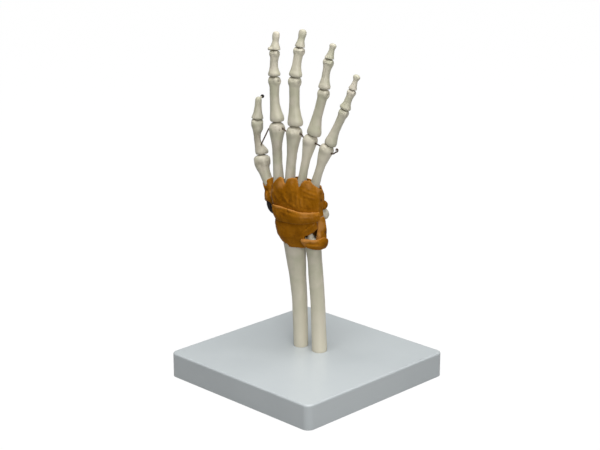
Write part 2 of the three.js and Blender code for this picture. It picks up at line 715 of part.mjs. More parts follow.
// The base: a hollow box open below, with a drilled boss under each forearm bone.
function roundedSquare(half, corner, level) {
  const ring = [];
  const steps = 5;
  for (let quarter = 0; quarter < 4; quarter += 1) {
    const middle = new THREE.Vector2(half - corner, half - corner).rotateAround(
      new THREE.Vector2(),
      quarter * Math.PI / 2,
    );
    for (let step = 0; step <= steps; step += 1) {
      const angle = (quarter + step / steps) * Math.PI / 2;
      const x = middle.x + corner * Math.cos(angle);
      const y = middle.y + corner * Math.sin(angle);
      ring.push(new THREE.Vector3(x, y, level));
    }
  }
  return ring;
}

function baseShell(bossPlaces) {
  const half = BASE_SIDE / 2;
  const roof = BASE_HEIGHT - BASE_TOP;
  const outside = [[0, 0], [BASE_HEIGHT - BASE_EDGE, 0], [BASE_HEIGHT - BASE_EDGE * 0.3, BASE_EDGE * 0.3]];
  outside.push([BASE_HEIGHT, BASE_EDGE]);
  const outline = (inset, level) => roundedSquare(half - inset, BASE_CORNER - inset, level);
  const skin = solid(loft(outside.map(([level, inset]) => outline(inset, level))));
  const room = [-1, roof].map((level) => outline(BASE_WALL, level));
  let shell = skin.subtract(solid(loft(room)));
  for (const { x, y } of bossPlaces) {
    const boss = rod(BOSS_RADIUS, BOSS_DROP + 1, Z_AXIS, 18);
    shell = shell.add(solid(boss, moved(x, y, roof + 1 - (BOSS_DROP + 1) / 2)));
    const drill = rod(SCREW_RADIUS + FIT, 3 * BASE_HEIGHT, Z_AXIS, 12);
    shell = shell.subtract(solid(drill, moved(x, y, 0)));
  }
  return shell;
}

function baseScrew() {
  const seat = BASE_HEIGHT - BASE_TOP - BOSS_DROP - FIT;
  const tip = BASE_HEIGHT + SCREW_REACH;
  const outline = [
    [0, seat - SCREW_HEAD_HEIGHT],
    [SCREW_HEAD_RADIUS * 0.7, seat - SCREW_HEAD_HEIGHT],
    [SCREW_HEAD_RADIUS, seat - SCREW_HEAD_HEIGHT * 0.5],
    [SCREW_HEAD_RADIUS, seat],
    [SCREW_RADIUS, seat],
    [SCREW_RADIUS, tip - 2 * SCREW_RADIUS],
    [0, tip],
  ].map(([x, y]) => new THREE.Vector2(x, y));
  return new THREE.LatheGeometry(outline, 12).rotateX(Math.PI / 2);
}

// Assembly
const model = new THREE.Group();
const hand = new THREE.Group();
hand.position.set(HAND_X, HAND_Y, BASE_HEIGHT);
hand.rotation.z = HAND_TURN * DEGREE;
hand.updateMatrix();

const feet = { radius: RADIUS_SECTIONS[0], ulna: ULNA_SECTIONS[0] };
const bossPlaces = Object.values(feet).map(([, across, through]) => (
  new THREE.Vector3(across, through, 0).applyMatrix4(hand.matrix)
));
model.add(part('base_shell', baseShell(bossPlaces), BASE, 0.35));
Object.keys(feet).forEach((name, index) => {
  const screw = part(`${name}_base_screw`, baseScrew(), STEEL, 0.35, 0.9);
  screw.position.set(bossPlaces[index].x, bossPlaces[index].y, 0);
  model.add(screw);
});

// Fingers
const fingerCutters = [];
const knuckles = {};
for (const [finger, { place, roll, metacarpal, phalanges }] of Object.entries(FINGERS)) {
  const thumb = finger === 'thumb';
  const swings = thumb
    ? [SWING.thumb_knuckle, SWING.thumb_end_joint]
    : [SWING.knuckle, SWING.middle_joint, SWING.end_joint];
  const names = thumb ? ['proximal', 'distal'] : ['proximal', 'middle', 'distal'];
  const bones = [metacarpal, ...phalanges];
  const turns = bones.map((bone) => pointing(bone, roll));
  const nextOf = (index) => (index >= phalanges.length ? null : {
    size: bones[index].head,
    round: index === 0,
    swing: swings[index],
    threaded: index === 0 && !thumb,
    turn: turns[index].clone().invert().multiply(turns[index + 1]),
  });
  let carrier = new THREE.Group();
  carrier.position.set(...place);
  carrier.quaternion.copy(turns[0]);
  hand.add(carrier);
  const body = joinHead(metacarpalBody(metacarpal), metacarpal.length, nextOf(0));
  carrier.add(part(`${finger}_metacarpal`, body, BONE));
  const placed = placing(new THREE.Vector3(...place), turns[0]);
  fingerCutters.push(metacarpalBody(metacarpal, LIGAMENT_FIT).transform(placed.elements));
  phalanges.forEach((bone, index) => {
    const joint = new THREE.Group();
    joint.position.set(0, 0, bones[index].length);
    joint.quaternion.copy(nextOf(index).turn);
    carrier.add(joint);
    const socket = nextOf(index);
    joint.add(part(`${finger}_${names[index]}_phalanx`, phalanx(bone, socket, nextOf(index + 1)), BONE));
    const wire = jointWire(socket.size[1], socket.threaded);
    joint.add(part(`${finger}_${names[index]}_joint_wire`, wire, STEEL, 0.4, 0.8));
    if (index === 0) knuckles[finger] = joint;
    if (thumb && index === 1) joint.add(part('thumb_tip_bead', tipBead(bone), BLACK, 0.3));
    carrier = joint;
  });
}
hand.updateMatrixWorld(true);
const toHand = hand.matrixWorld.clone().invert();

// The place and the sideways direction of a knuckle, in the hand's frame.
function knuckle(finger) {
  const matrix = toHand.clone().multiply(knuckles[finger].matrixWorld);
  const centre = new THREE.Vector3().setFromMatrixPosition(matrix);
  const side = new THREE.Vector3().setFromMatrixColumn(matrix, 0);
  return { centre, side, reach: FINGERS[finger].metacarpal.head[0] + THREAD_STAND };
}

// The threaded wire: straight through each knuckle, then a curl past the little finger.
class Thread extends THREE.CurvePath {
  through(points) {
    for (let index = 0; index + 1 < points.length; index += 1) {
      this.add(new THREE.LineCurve3(points[index], points[index + 1]));
    }
    return this;
  }
}
function tube(path, radius, steps, sides = 5) {
  const outline = new THREE.Shape();
  for (let side = 0; side < sides; side += 1) {
    const angle = (side / sides) * 2 * Math.PI;
    outline[side ? 'lineTo' : 'moveTo'](radius * Math.cos(angle), radius * Math.sin(angle));
  }
  return new THREE.ExtrudeGeometry(outline, { steps, bevelEnabled: false, extrudePath: path });
}
const threaded = ['index', 'middle', 'ring', 'little'].map(knuckle);
const threadPoints = threaded.flatMap(({ centre, side, reach }) => [
  centre.clone().addScaledVector(side, -reach),
  centre.clone().addScaledVector(side, reach),
]);
const threadEnd = threadPoints[threadPoints.length - 1].clone().add(new THREE.Vector3(...CURL_START));
for (let step = 0; step <= CURL_STEPS; step += 1) {
  const angle = (step / CURL_STEPS) * CURL_ANGLE * DEGREE;
  const out = Math.sin(angle) * CURL_RADIUS + step * CURL_DRIFT;
  const up = (1 - Math.cos(angle)) * CURL_RADIUS;
  threadPoints.push(threadEnd.clone().add(new THREE.Vector3(out, step * CURL_LEAN, up)));
}
const threadPath = new Thread().through(threadPoints);
hand.add(part('threaded_wire', tube(threadPath, THREAD_RADIUS, THREAD_STEPS), WIRE, 0.5, 0.6));

const tieTop = threadPoints[0].clone().addScaledVector(threaded[0].side, -THREAD_RADIUS - FIT);
const tiePath = new Thread().through([tieTop, new THREE.Vector3(...TIE_BOTTOM)]);
hand.add(part('thumb_tie_wire', tube(tiePath, THREAD_RADIUS, 4), WIRE, 0.5, 0.6));

// Wrist bones
const inside = wrapBlock(-WRAP_THICK - WRAP_SLACK, WRAP_BOTTOM - 4, WRAP_SECTIONS.at(-1)[0]);
const fingerBones = wasm.Manifold.union(fingerCutters);
for (const [name, spec] of Object.entries(CARPALS)) {
  let bone = pebble(spec);
  for (const { point, normal } of carpalFaces(name)) bone = trimBeyond(bone, point, normal);
  bone = trimBeyond(bone, new THREE.Vector3(0, 0, CARPAL_CEILING), Z_AXIS).subtract(fingerBones);
  if (name !== 'pisiform' && name !== 'trapezium') bone = bone.intersect(inside);
  const tint = new THREE.Color(BONE).multiplyScalar(spec.tone);
  hand.add(part(name, bone, tint));
}

// Forearm bones
const wristCup = pebble(CARPALS.scaphoid, CARPAL_GAP).add(pebble(CARPALS.lunate, CARPAL_GAP));
const radius = forearmBone(RADIUS_SECTIONS).subtract(wristCup).subtract(screwPilot(feet.radius));
const ulna = forearmBone(ULNA_SECTIONS).add(styloid()).subtract(screwPilot(feet.ulna));
hand.add(part('radius', radius, BONE));
hand.add(part('ulna', ulna, BONE));

// Ligaments
const [radiusRoom, ulnaRoom] = [RADIUS_SECTIONS, ULNA_SECTIONS].map((sections) => (
  forearmBone(sections, LIGAMENT_FIT)
));
const bumps = pebble(CARPALS.pisiform, PISIFORM_BARE).add(pebble(CARPALS.trapezium, LIGAMENT_FIT));
const cutter = wasm.Manifold.union([fingerBones, radiusRoom, ulnaRoom, styloid(LIGAMENT_FIT), bumps]);
// The space that an outer ligament takes up, with a fit all round it.
function claimed(name) {
  const { edges } = SHEETS[name];
  const last = edges.length - 1;
  const wider = edges.map(([angle, low, high], column) => [
    angle + (column === last ? CLAIM_ANGLE : 0) - (column === 0 ? CLAIM_ANGLE : 0),
    low - FIT,
    high + FIT,
  ]);
  return sheet(wider, -1, BAND_THICK + 2 * FIT, { lip: 1 });
}
for (const [name, { layer, edges, lump }] of Object.entries(SHEETS)) {
  const upper = (level) => (level === WRAP_SEAM ? WRAP_SEAM - SEAM_GAP : level);
  const seamed = edges.map(([angle, low, high]) => [angle, low, upper(high)]);
  let body = sheet(seamed, ...LAYERS[layer]);
  if (lump) body = body.add(pebble(lump)).subtract(claimed('flexor_retinaculum'));
  hand.add(part(name, body.subtract(cutter), LIGAMENT, 0.4));
}

const wrapBody = wrapBlock(FIT, WRAP_BOTTOM - 1, WRAP_SECTIONS.at(-1)[0] + 1);
const padTurn = new THREE.Matrix4().makeRotationY(PAD.tilt * DEGREE).setPosition(...PAD.at);
const padBlock = (grow) => pebble({ at: [0, 0, 0], half: PAD.half }, grow).transform(padTurn.elements);
const outerSheets = ['dorsal_intercarpal_ligament', 'flexor_retinaculum', 'distal_radioulnar_ligament'];
const covered = wasm.Manifold.union([wrapBody, cutter, ...outerSheets.map(claimed)]);
hand.add(part('radial_wrist_pad', padBlock(0).subtract(covered), BLACK, 0.6));
const thumbTurn = pointing(FINGERS.thumb.metacarpal, 0);
const sleeveBody = sleeve(new THREE.Vector3(...FINGERS.thumb.place), thumbTurn);
hand.add(part('thumb_joint_capsule', sleeveBody.subtract(covered).subtract(padBlock(FIT)), LIGAMENT, 0.4));

model.add(hand);
export default model;
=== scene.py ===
# %% [markdown]
# # Anatomical hand model on a base
# The object is a life-size skeleton of a right hand and wrist, standing on its two forearm bones
# on a flat plastic box. The CAD model gives every piece its place and its size. This lesson gives
# each piece the surface that a hand or a mould would leave on it, then lights and frames it.

# %% Load the CAD frame
import json
import math

import bpy
import numpy as np
from mathutils import Matrix, Vector
from mathutils.kdtree import KDTree

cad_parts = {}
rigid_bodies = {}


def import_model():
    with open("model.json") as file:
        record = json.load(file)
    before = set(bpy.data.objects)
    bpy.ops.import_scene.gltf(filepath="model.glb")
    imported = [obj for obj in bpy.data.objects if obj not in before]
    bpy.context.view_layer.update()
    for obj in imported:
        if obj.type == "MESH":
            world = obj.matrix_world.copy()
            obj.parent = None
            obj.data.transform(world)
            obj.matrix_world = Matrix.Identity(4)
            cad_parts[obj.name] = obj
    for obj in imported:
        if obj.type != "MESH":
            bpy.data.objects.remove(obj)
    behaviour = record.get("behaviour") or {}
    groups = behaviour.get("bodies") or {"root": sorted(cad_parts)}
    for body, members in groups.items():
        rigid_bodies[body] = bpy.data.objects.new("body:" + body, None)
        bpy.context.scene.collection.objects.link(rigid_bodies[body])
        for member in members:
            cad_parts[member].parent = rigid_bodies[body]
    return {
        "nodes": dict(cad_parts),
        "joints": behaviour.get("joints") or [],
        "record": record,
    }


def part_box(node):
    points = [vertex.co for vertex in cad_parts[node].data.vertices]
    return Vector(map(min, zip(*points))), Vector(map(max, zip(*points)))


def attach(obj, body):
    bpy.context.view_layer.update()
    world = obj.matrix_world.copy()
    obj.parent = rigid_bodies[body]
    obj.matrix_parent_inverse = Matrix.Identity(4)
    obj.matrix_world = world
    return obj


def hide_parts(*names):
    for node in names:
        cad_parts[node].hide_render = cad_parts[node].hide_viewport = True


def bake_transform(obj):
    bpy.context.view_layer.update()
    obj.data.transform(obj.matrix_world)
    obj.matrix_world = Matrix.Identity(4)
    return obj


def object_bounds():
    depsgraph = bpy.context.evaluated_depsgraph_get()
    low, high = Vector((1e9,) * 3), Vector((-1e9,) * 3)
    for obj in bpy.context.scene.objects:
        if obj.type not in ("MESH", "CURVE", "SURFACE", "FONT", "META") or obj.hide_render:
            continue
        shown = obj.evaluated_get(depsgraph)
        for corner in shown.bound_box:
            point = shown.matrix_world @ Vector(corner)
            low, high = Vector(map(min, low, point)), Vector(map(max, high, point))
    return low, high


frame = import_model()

cad_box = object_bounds()
record = frame["record"]

# %% [markdown]
# Everything here is in metres, but the object is a third of a metre tall and its details are far
# smaller, so sizes are written in millimetres and multiplied by one named value. The hand stands a
# little off the middle of its base and is turned on it, so places in the hand are given in the hand's
# own frame: across (towards the little finger), through (towards the palm) and up, from the top of
# the base.

# %% Units and the hand's own frame
MM = 0.001
HAND_PLACE = Vector((-5, 9, 23.4)) * MM
HAND_TURN = math.radians(12)
to_row = Matrix.Translation(HAND_PLACE) @ Matrix.Rotation(HAND_TURN, 4, "Z")
to_hand = to_row.inverted()


def hand_point(across, through, up):
    return to_row @ (Vector((across, through, up)) * MM)


print("wrist middle in the row frame:", hand_point(-10, 0, 120))

# %% [markdown]
# The photograph was taken from the side of the little finger, a little above the wrist. The base is
# square, so its corners tell where the camera stood, how far away, and how long its lens was.

# %% Camera
VIEW_AZIMUTH = math.radians(44.71)
VIEW_ELEVATION = math.radians(16.77)
VIEW_DISTANCE = 1.359
VIEW_SIDE = -6.44 * MM
VIEW_HEIGHT = 146.49 * MM
LENS = 89.86
SENSOR = 36
target = Vector((VIEW_SIDE * math.cos(VIEW_AZIMUTH), VIEW_SIDE * math.sin(VIEW_AZIMUTH), VIEW_HEIGHT))
towards_camera = Vector((
    math.sin(VIEW_AZIMUTH) * math.cos(VIEW_ELEVATION),
    -math.cos(VIEW_AZIMUTH) * math.cos(VIEW_ELEVATION),
    math.sin(VIEW_ELEVATION),
))
bpy.ops.object.camera_add(location=target + towards_camera * VIEW_DISTANCE)
camera = bpy.context.object
camera.name = "camera"
camera.rotation_mode = "QUATERNION"
camera.rotation_quaternion = (-towards_camera).to_track_quat("-Z", "Y")
camera.data.lens = LENS
camera.data.sensor_width = SENSOR
camera.data.clip_start = 0.05
bpy.context.scene.camera = camera
bpy.context.scene.view_settings.view_transform = "Standard"
print("camera at", camera.location)

# %% [markdown]
# Folds and strands in the ligaments are easiest to place where the photograph shows them. With the
# camera known, any point of the object can be turned into a place in the picture, counted in
# pixels from its upper left corner.

# %% Where a point falls in the picture
PICTURE_WIDE = 600
PICTURE_HIGH = 450
camera_frame = Matrix.Translation(camera.location) @ camera.rotation_quaternion.to_matrix().to_4x4()
to_camera = np.array(camera_frame.inverted())


def picture_place(points):
    seen = points @ to_camera[:3, :3].T + to_camera[:3, 3]
    zoom = LENS / SENSOR * PICTURE_WIDE / -seen[:, 2]
    return np.stack([PICTURE_WIDE / 2 + seen[:, 0] * zoom, PICTURE_HIGH / 2 - seen[:, 1] * zoom], axis=1)


print("origin in the picture:", picture_place(np.zeros((1, 3)))[0].round(1))

# %% [markdown]
# Operators act on whatever is selected, and the CAD nodes come in selected. So a small helper
# clears the selection and picks one object, and every later step starts from it.

# %% Picking one object and applying a modifier
def pick(piece):
    bpy.ops.object.select_all(action="DESELECT")
    piece.select_set(True)
    bpy.context.view_layer.objects.active = piece
    return piece


def shape_with(piece, kind, **settings):
    modifier = piece.modifiers.new(kind.lower(), kind)
    for setting, value in settings.items():
        setattr(modifier, setting, value)
    pick(piece)
    bpy.ops.object.modifier_apply(modifier=modifier.name)
    return piece


def edit(piece, *steps):
    pick(piece)
    bpy.ops.object.mode_set(mode="EDIT")
    for step in steps:
        step()
    bpy.ops.object.mode_set(mode="OBJECT")
    return piece


pick(camera)
print("picked:", bpy.context.object.name)

# %% [markdown]
# A CAD solid is made of flat faces. In its copy, points less than a hair apart are merged, so that
# the loose triangles share corners. It is then rebuilt as an even grid of small faces and smoothed:
# the flats melt into the rounded surface of a moulded bone, and the small faces leave room for lumps
# and pits.

# %% A rounded copy of a CAD solid
HAIR = 0.01


def rounded_copy(node, name, grid, passes, swell=0.0):
    piece = bpy.data.objects.new(name, frame["nodes"][node].data.copy())
    bpy.context.scene.collection.objects.link(piece)
    piece.data.materials.clear()
    edit(
        piece,
        lambda: bpy.ops.mesh.select_all(action="SELECT"),
        lambda: bpy.ops.mesh.remove_doubles(threshold=HAIR * MM),
    )
    shape_with(piece, "REMESH", mode="VOXEL", voxel_size=grid * MM)
    shape_with(piece, "SMOOTH", factor=0.5, iterations=passes)
    if swell:
        shape_with(piece, "DISPLACE", strength=swell * MM, mid_level=0)
    bpy.ops.object.shade_smooth()
    return piece


def surface_of(piece):
    points = np.empty(len(piece.data.vertices) * 3)
    piece.data.vertices.foreach_get("co", points)
    normals = np.empty(len(piece.data.vertices) * 3)
    piece.data.vertices.foreach_get("normal", normals)
    return points.reshape(-1, 3), normals.reshape(-1, 3)


def set_surface(piece, points):
    piece.data.vertices.foreach_set("co", points.ravel())
    piece.data.update()


print("rounding helpers ready")

# %% [markdown]
# A material is made of nodes joined by links, and written out one by one they fill pages. These
# helpers add a node with its settings, link or set a socket, mix two colours, calculate, make noise,
# and turn a value into a soft step, so each effect below takes a few lines.

# %% Small helpers for shader nodes
def new_group(name, inputs, outputs):
    tree = bpy.data.node_groups.new(name, "ShaderNodeTree")
    for label, kind, value in inputs:
        socket = tree.interface.new_socket(label, in_out="INPUT", socket_type=kind)
        socket.default_value = value
    for label, kind in outputs:
        tree.interface.new_socket(label, in_out="OUTPUT", socket_type=kind)
    return tree, tree.nodes.new("NodeGroupInput"), tree.nodes.new("NodeGroupOutput")


def add(tree, kind, **settings):
    node = tree.nodes.new(kind)
    for setting, value in settings.items():
        setattr(node, setting, value)
    return node


def feed(tree, value, socket):
    if isinstance(value, bpy.types.NodeSocket):
        tree.links.new(value, socket)
    else:
        socket.default_value = value


def mix_colours(tree, factor, first, second):
    mix = add(tree, "ShaderNodeMix", data_type="RGBA")
    for value, number in ((factor, 0), (first, 6), (second, 7)):
        feed(tree, value, mix.inputs[number])
    return mix.outputs[2]


def calculate(tree, operation, *values):
    node = add(tree, "ShaderNodeMath", operation=operation)
    for value, socket in zip(values, node.inputs):
        feed(tree, value, socket)
    return node.outputs[0]


def noise(tree, vector, size, detail, stretch=None):
    texture = add(tree, "ShaderNodeTexNoise")
    texture.inputs["Detail"].default_value = detail
    feed(tree, size, texture.inputs["Scale"])
    if stretch:
        mapping = add(tree, "ShaderNodeMapping")
        mapping.inputs["Scale"].default_value = stretch
        tree.links.new(vector, mapping.inputs["Vector"])
        vector = mapping.outputs["Vector"]
    tree.links.new(vector, texture.inputs["Vector"])
    return texture.outputs["Fac"]


def steps(tree, value, low, high):
    ramp = add(tree, "ShaderNodeMapRange", interpolation_type="SMOOTHSTEP")
    ramp.inputs["From Min"].default_value = low
    ramp.inputs["From Max"].default_value = high
    tree.links.new(value, ramp.inputs["Value"])
    return ramp.outputs["Result"]


print("node helpers ready")

# %% [markdown]
# The surfaces share three effects, and each is built once as a node group. The first is mottle.
# Moulded plastic and dried resin are never one flat colour, so it mixes two colours by slow clouds
# and scatters small specks of the darker one.

# %% Mottle
def build_mottle():
    tree, enter, leave = new_group(
        "mottle",
        [
            ("Vector", "NodeSocketVector", (0, 0, 0)),
            ("Light", "NodeSocketColor", (0.8, 0.8, 0.8, 1)),
            ("Dark", "NodeSocketColor", (0.5, 0.5, 0.5, 1)),
            ("Cloud Scale", "NodeSocketFloat", 80),
            ("Speck Scale", "NodeSocketFloat", 900),
            ("Speck", "NodeSocketFloat", 0.15),
        ],
        [("Color", "NodeSocketColor")],
    )
    clouds = noise(tree, enter.outputs["Vector"], enter.outputs["Cloud Scale"], detail=4)
    cloud = steps(tree, clouds, low=0.32, high=0.68)
    tone = mix_colours(tree, cloud, enter.outputs["Dark"], enter.outputs["Light"])
    specks = noise(tree, enter.outputs["Vector"], enter.outputs["Speck Scale"], detail=2)
    speck = steps(tree, specks, low=0.55, high=0.8)
    amount = calculate(tree, "MULTIPLY", speck, enter.outputs["Speck"])
    colour = mix_colours(tree, amount, tone, enter.outputs["Dark"])
    tree.links.new(colour, leave.inputs["Color"])
    return tree


MOTTLE = build_mottle()
print("group:", MOTTLE.name)

# %% [markdown]
# The second effect is grain. No moulded face is quite smooth, so fine noise and small pits give a
# height for the Bump node. Real dents of this size would need millions of faces.

# %% Grain
def build_grain():
    tree, enter, leave = new_group(
        "grain",
        [
            ("Vector", "NodeSocketVector", (0, 0, 0)),
            ("Fine Scale", "NodeSocketFloat", 1500),
            ("Pit Scale", "NodeSocketFloat", 700),
            ("Pits", "NodeSocketFloat", 0.3),
        ],
        [("Height", "NodeSocketFloat")],
    )
    fine = noise(tree, enter.outputs["Vector"], enter.outputs["Fine Scale"], detail=3)
    cells = add(tree, "ShaderNodeTexVoronoi")
    tree.links.new(enter.outputs["Vector"], cells.inputs["Vector"])
    tree.links.new(enter.outputs["Pit Scale"], cells.inputs["Scale"])
    pit = steps(tree, cells.outputs["Distance"], low=0.05, high=0.4)
    depth = calculate(tree, "MULTIPLY_ADD", pit, enter.outputs["Pits"], fine)
    tree.links.new(depth, leave.inputs["Height"])
    return tree


GRAIN = build_grain()
print("group:", GRAIN.name)

# %% [markdown]
# The third effect is painted shade and highlight. The deep places are painted darker, as shade falls
# in them, and the raised ones paler, as a painted highlight. Each mesh carries how deep its points lie
# as an attribute called hollow, and this group turns that into painted shade and a painted highlight.

# %% Painted shade in hollows and painted highlight on raised places
def build_hollow_shading():
    tree, enter, leave = new_group(
        "hollows",
        [
            ("Color", "NodeSocketColor", (0.8, 0.8, 0.8, 1)),
            ("Stain", "NodeSocketColor", (0.2, 0.1, 0.02, 1)),
            ("Worn", "NodeSocketColor", (0.9, 0.9, 0.9, 1)),
            ("Hollow", "NodeSocketFloat", 0.5),
            ("Stain Amount", "NodeSocketFloat", 0.6),
            ("Wear Amount", "NodeSocketFloat", 0.3),
        ],
        [("Color", "NodeSocketColor")],
    )
    colour = enter.outputs["Color"]
    # Painted shade in the deep places, a painted highlight on the raised ones
    tones = (("Stain", "Stain Amount", 0.52, 0.85), ("Worn", "Wear Amount", 0.48, 0.15))
    for label, amount, low, high in tones:
        mask = steps(tree, enter.outputs["Hollow"], low, high)
        share = calculate(tree, "MULTIPLY", mask, enter.outputs[amount])
        colour = mix_colours(tree, share, colour, enter.outputs[label])
    tree.links.new(colour, leave.inputs["Color"])
    return tree


HOLLOW_SHADING = build_hollow_shading()
print("group:", HOLLOW_SHADING.name)

# %% [markdown]
# Ligament is made of fibres, laid on and glued, with a thin brown varnish over them. Its group draws
# long thin ridges along one direction, bent a little by slower noise, so they wander like strands.

# %% Fibres
def build_fibres():
    tree, enter, leave = new_group(
        "fibres",
        [
            ("Vector", "NodeSocketVector", (0, 0, 0)),
            ("Strand Scale", "NodeSocketFloat", 420),
            ("Wander", "NodeSocketFloat", 0.0022),
        ],
        [("Height", "NodeSocketFloat"), ("Strand", "NodeSocketFloat")],
    )
    drift = add(tree, "ShaderNodeTexNoise")
    drift.inputs["Scale"].default_value = 140
    drift.inputs["Detail"].default_value = 2
    tree.links.new(enter.outputs["Vector"], drift.inputs["Vector"])
    centred = add(tree, "ShaderNodeVectorMath", operation="SUBTRACT")
    centred.inputs[1].default_value = (0.5, 0.5, 0.5)
    tree.links.new(drift.outputs["Color"], centred.inputs[0])
    scaled = add(tree, "ShaderNodeVectorMath", operation="SCALE")
    tree.links.new(centred.outputs[0], scaled.inputs[0])
    tree.links.new(enter.outputs["Wander"], scaled.inputs["Scale"])
    bent = add(tree, "ShaderNodeVectorMath", operation="ADD")
    tree.links.new(enter.outputs["Vector"], bent.inputs[0])
    tree.links.new(scaled.outputs[0], bent.inputs[1])
    strand = noise(tree, bent.outputs[0], enter.outputs["Strand Scale"], detail=3, stretch=(1, 1, 0.1))
    tree.links.new(strand, leave.inputs["Height"])
    tree.links.new(steps(tree, strand, low=0.35, high=0.65), leave.inputs["Strand"])
    return tree


FIBRES = build_fibres()
print("group:", FIBRES.name)

# %% [markdown]
# Each material keeps its own Principled shader and its own fixed numbers on the shader's sockets.
# Only what changes over the surface comes from the groups: the colour, and the height of the bump.

# %% Small helpers for materials
def place_group(tree, group, **values):
    node = tree.nodes.new("ShaderNodeGroup")
    node.node_tree = group
    for label, value in values.items():
        feed(tree, value, node.inputs[label.replace("_", " ")])
    return node


def start_material(name, roughness, specular=0.5, metallic=0.0):
    material = bpy.data.materials.new(name)
    material.use_nodes = True
    tree = material.node_tree
    shader = tree.nodes["Principled BSDF"]
    shader.inputs["Roughness"].default_value = roughness
    shader.inputs["Specular IOR Level"].default_value = specular
    shader.inputs["Metallic"].default_value = metallic
    place = add(tree, "ShaderNodeTexCoord")
    return material, tree, shader, place.outputs["Object"]


def bump(tree, shader, height, distance, strength=0.5):
    node = add(tree, "ShaderNodeBump")
    node.inputs["Distance"].default_value = distance * MM
    node.inputs["Strength"].default_value = strength
    tree.links.new(height, node.inputs["Height"])
    tree.links.new(node.outputs["Normal"], shader.inputs["Normal"])


def hollow_mask(tree):
    return add(tree, "ShaderNodeAttribute", attribute_name="hollow").outputs["Fac"]


print("material helpers ready")

# %% [markdown]
# The bones are cast in a pale plastic, a little green in its darker clouds and creamy in its painted
# highlights. Mottle gives the two tones, and the hollow group paints shade into the hollows and the gaps
# at the joints. A second attribute paints light on places that are lit more, such as the feet of the
# forearm bones, which the base lights from below.

# %% Bone plastic
BONE_LIGHT = (0.622, 0.572, 0.466, 1)
BONE_DARK = (0.500, 0.486, 0.358, 1)
BONE_SHADE = (0.130, 0.095, 0.050, 1)
BONE_HIGHLIGHT = (0.680, 0.640, 0.510, 1)
BONE_LIT = (0.735, 0.680, 0.540, 1)


def bone_material():
    material, tree, shader, place = start_material("bone_plastic", roughness=0.46, specular=0.4)
    mottle = place_group(
        tree, MOTTLE, Vector=place, Light=BONE_LIGHT, Dark=BONE_DARK,
        Cloud_Scale=62, Speck_Scale=1100, Speck=0.25,
    )
    shaded = place_group(
        tree, HOLLOW_SHADING, Color=mottle.outputs["Color"], Stain=BONE_SHADE, Worn=BONE_HIGHLIGHT,
        Hollow=hollow_mask(tree), Stain_Amount=0.75, Wear_Amount=0.35,
    )
    # Painted light: places lit more, such as the forearm feet, fade to a paler colour
    painted_light = add(tree, "ShaderNodeAttribute", attribute_name="painted_light").outputs["Fac"]
    brightened = mix_colours(tree, painted_light, shaded.outputs["Color"], BONE_LIT)
    tree.links.new(brightened, shader.inputs["Base Color"])
    grain = place_group(tree, GRAIN, Vector=place, Fine_Scale=1300, Pit_Scale=620, Pits=0.35)
    bump(tree, shader, grain.outputs["Height"], distance=0.12, strength=0.45)
    return material


BONE = bone_material()
print("material:", BONE.name)

# %% [markdown]
# The fibres of a ligament run from bone to bone, so some pieces have them upright, some slanted and
# some across. One function makes the brown material three times, and a Mapping node turns its fibres
# by the angle of each.

# %% Ligament, with its fibres turned to lie along each piece
LIGAMENT_LIGHT = (0.390, 0.150, 0.009, 1)
LIGAMENT_DARK = (0.285, 0.104, 0.003, 1)
LIGAMENT_SHADE = (0.085, 0.024, 0.002, 1)
LIGAMENT_HIGHLIGHT = (0.620, 0.290, 0.085, 1)
STRAND_SHADE = 0.35


def ligament_material(name, lean):
    material, tree, shader, place = start_material(name, roughness=0.48, specular=0.02)
    turn = add(tree, "ShaderNodeMapping", vector_type="POINT")
    turn.inputs["Rotation"].default_value = (0, math.radians(lean), -HAND_TURN)
    tree.links.new(place, turn.inputs["Vector"])
    fibres = place_group(tree, FIBRES, Vector=turn.outputs["Vector"], Strand_Scale=420, Wander=0.0022)
    mottle = place_group(
        tree, MOTTLE, Vector=place, Light=LIGAMENT_LIGHT, Dark=LIGAMENT_DARK,
        Cloud_Scale=95, Speck_Scale=700, Speck=0.2,
    )
    shade = mix_colours(tree, STRAND_SHADE, mottle.outputs["Color"], LIGAMENT_DARK)
    streaked = mix_colours(tree, fibres.outputs["Strand"], shade, mottle.outputs["Color"])
    # Painted shade in the hollows and a painted highlight on the raised strands
    shaded = place_group(
        tree, HOLLOW_SHADING, Color=streaked, Stain=LIGAMENT_SHADE, Worn=LIGAMENT_HIGHLIGHT,
        Hollow=hollow_mask(tree), Stain_Amount=0.85, Wear_Amount=0.5,
    )
    tree.links.new(shaded.outputs["Color"], shader.inputs["Base Color"])
    bump(tree, shader, fibres.outputs["Height"], distance=0.35, strength=0.3)
    return material


UPRIGHT_FIBRES = ligament_material("ligament_upright", 0)
SLANTED_FIBRES = ligament_material("ligament_slanted", 30)
ACROSS_FIBRES = ligament_material("ligament_across", 78)
print("materials:", UPRIGHT_FIBRES.name, SLANTED_FIBRES.name, ACROSS_FIBRES.name)

# %% [markdown]
# The box is pale grey plastic with a satin mould finish. Its colour hardly changes, so the mottle is
# faint, and a very fine grain breaks up the reflection of the bones in its top.

# %% Base plastic
BASE_LIGHT = (0.560, 0.600, 0.612, 1)
BASE_DARK = (0.535, 0.575, 0.588, 1)


def base_material():
    material, tree, shader, place = start_material("base_plastic", roughness=0.34, specular=0.45)
    mottle = place_group(
        tree, MOTTLE, Vector=place, Light=BASE_LIGHT, Dark=BASE_DARK,
        Cloud_Scale=16, Speck_Scale=2200, Speck=0.12,
    )
    tree.links.new(mottle.outputs["Color"], shader.inputs["Base Color"])
    grain = place_group(tree, GRAIN, Vector=place, Fine_Scale=2600, Pit_Scale=1800, Pits=0.15)
    bump(tree, shader, grain.outputs["Height"], distance=0.03, strength=0.35)
    return material


BASE = base_material()
print("material:", BASE.name)

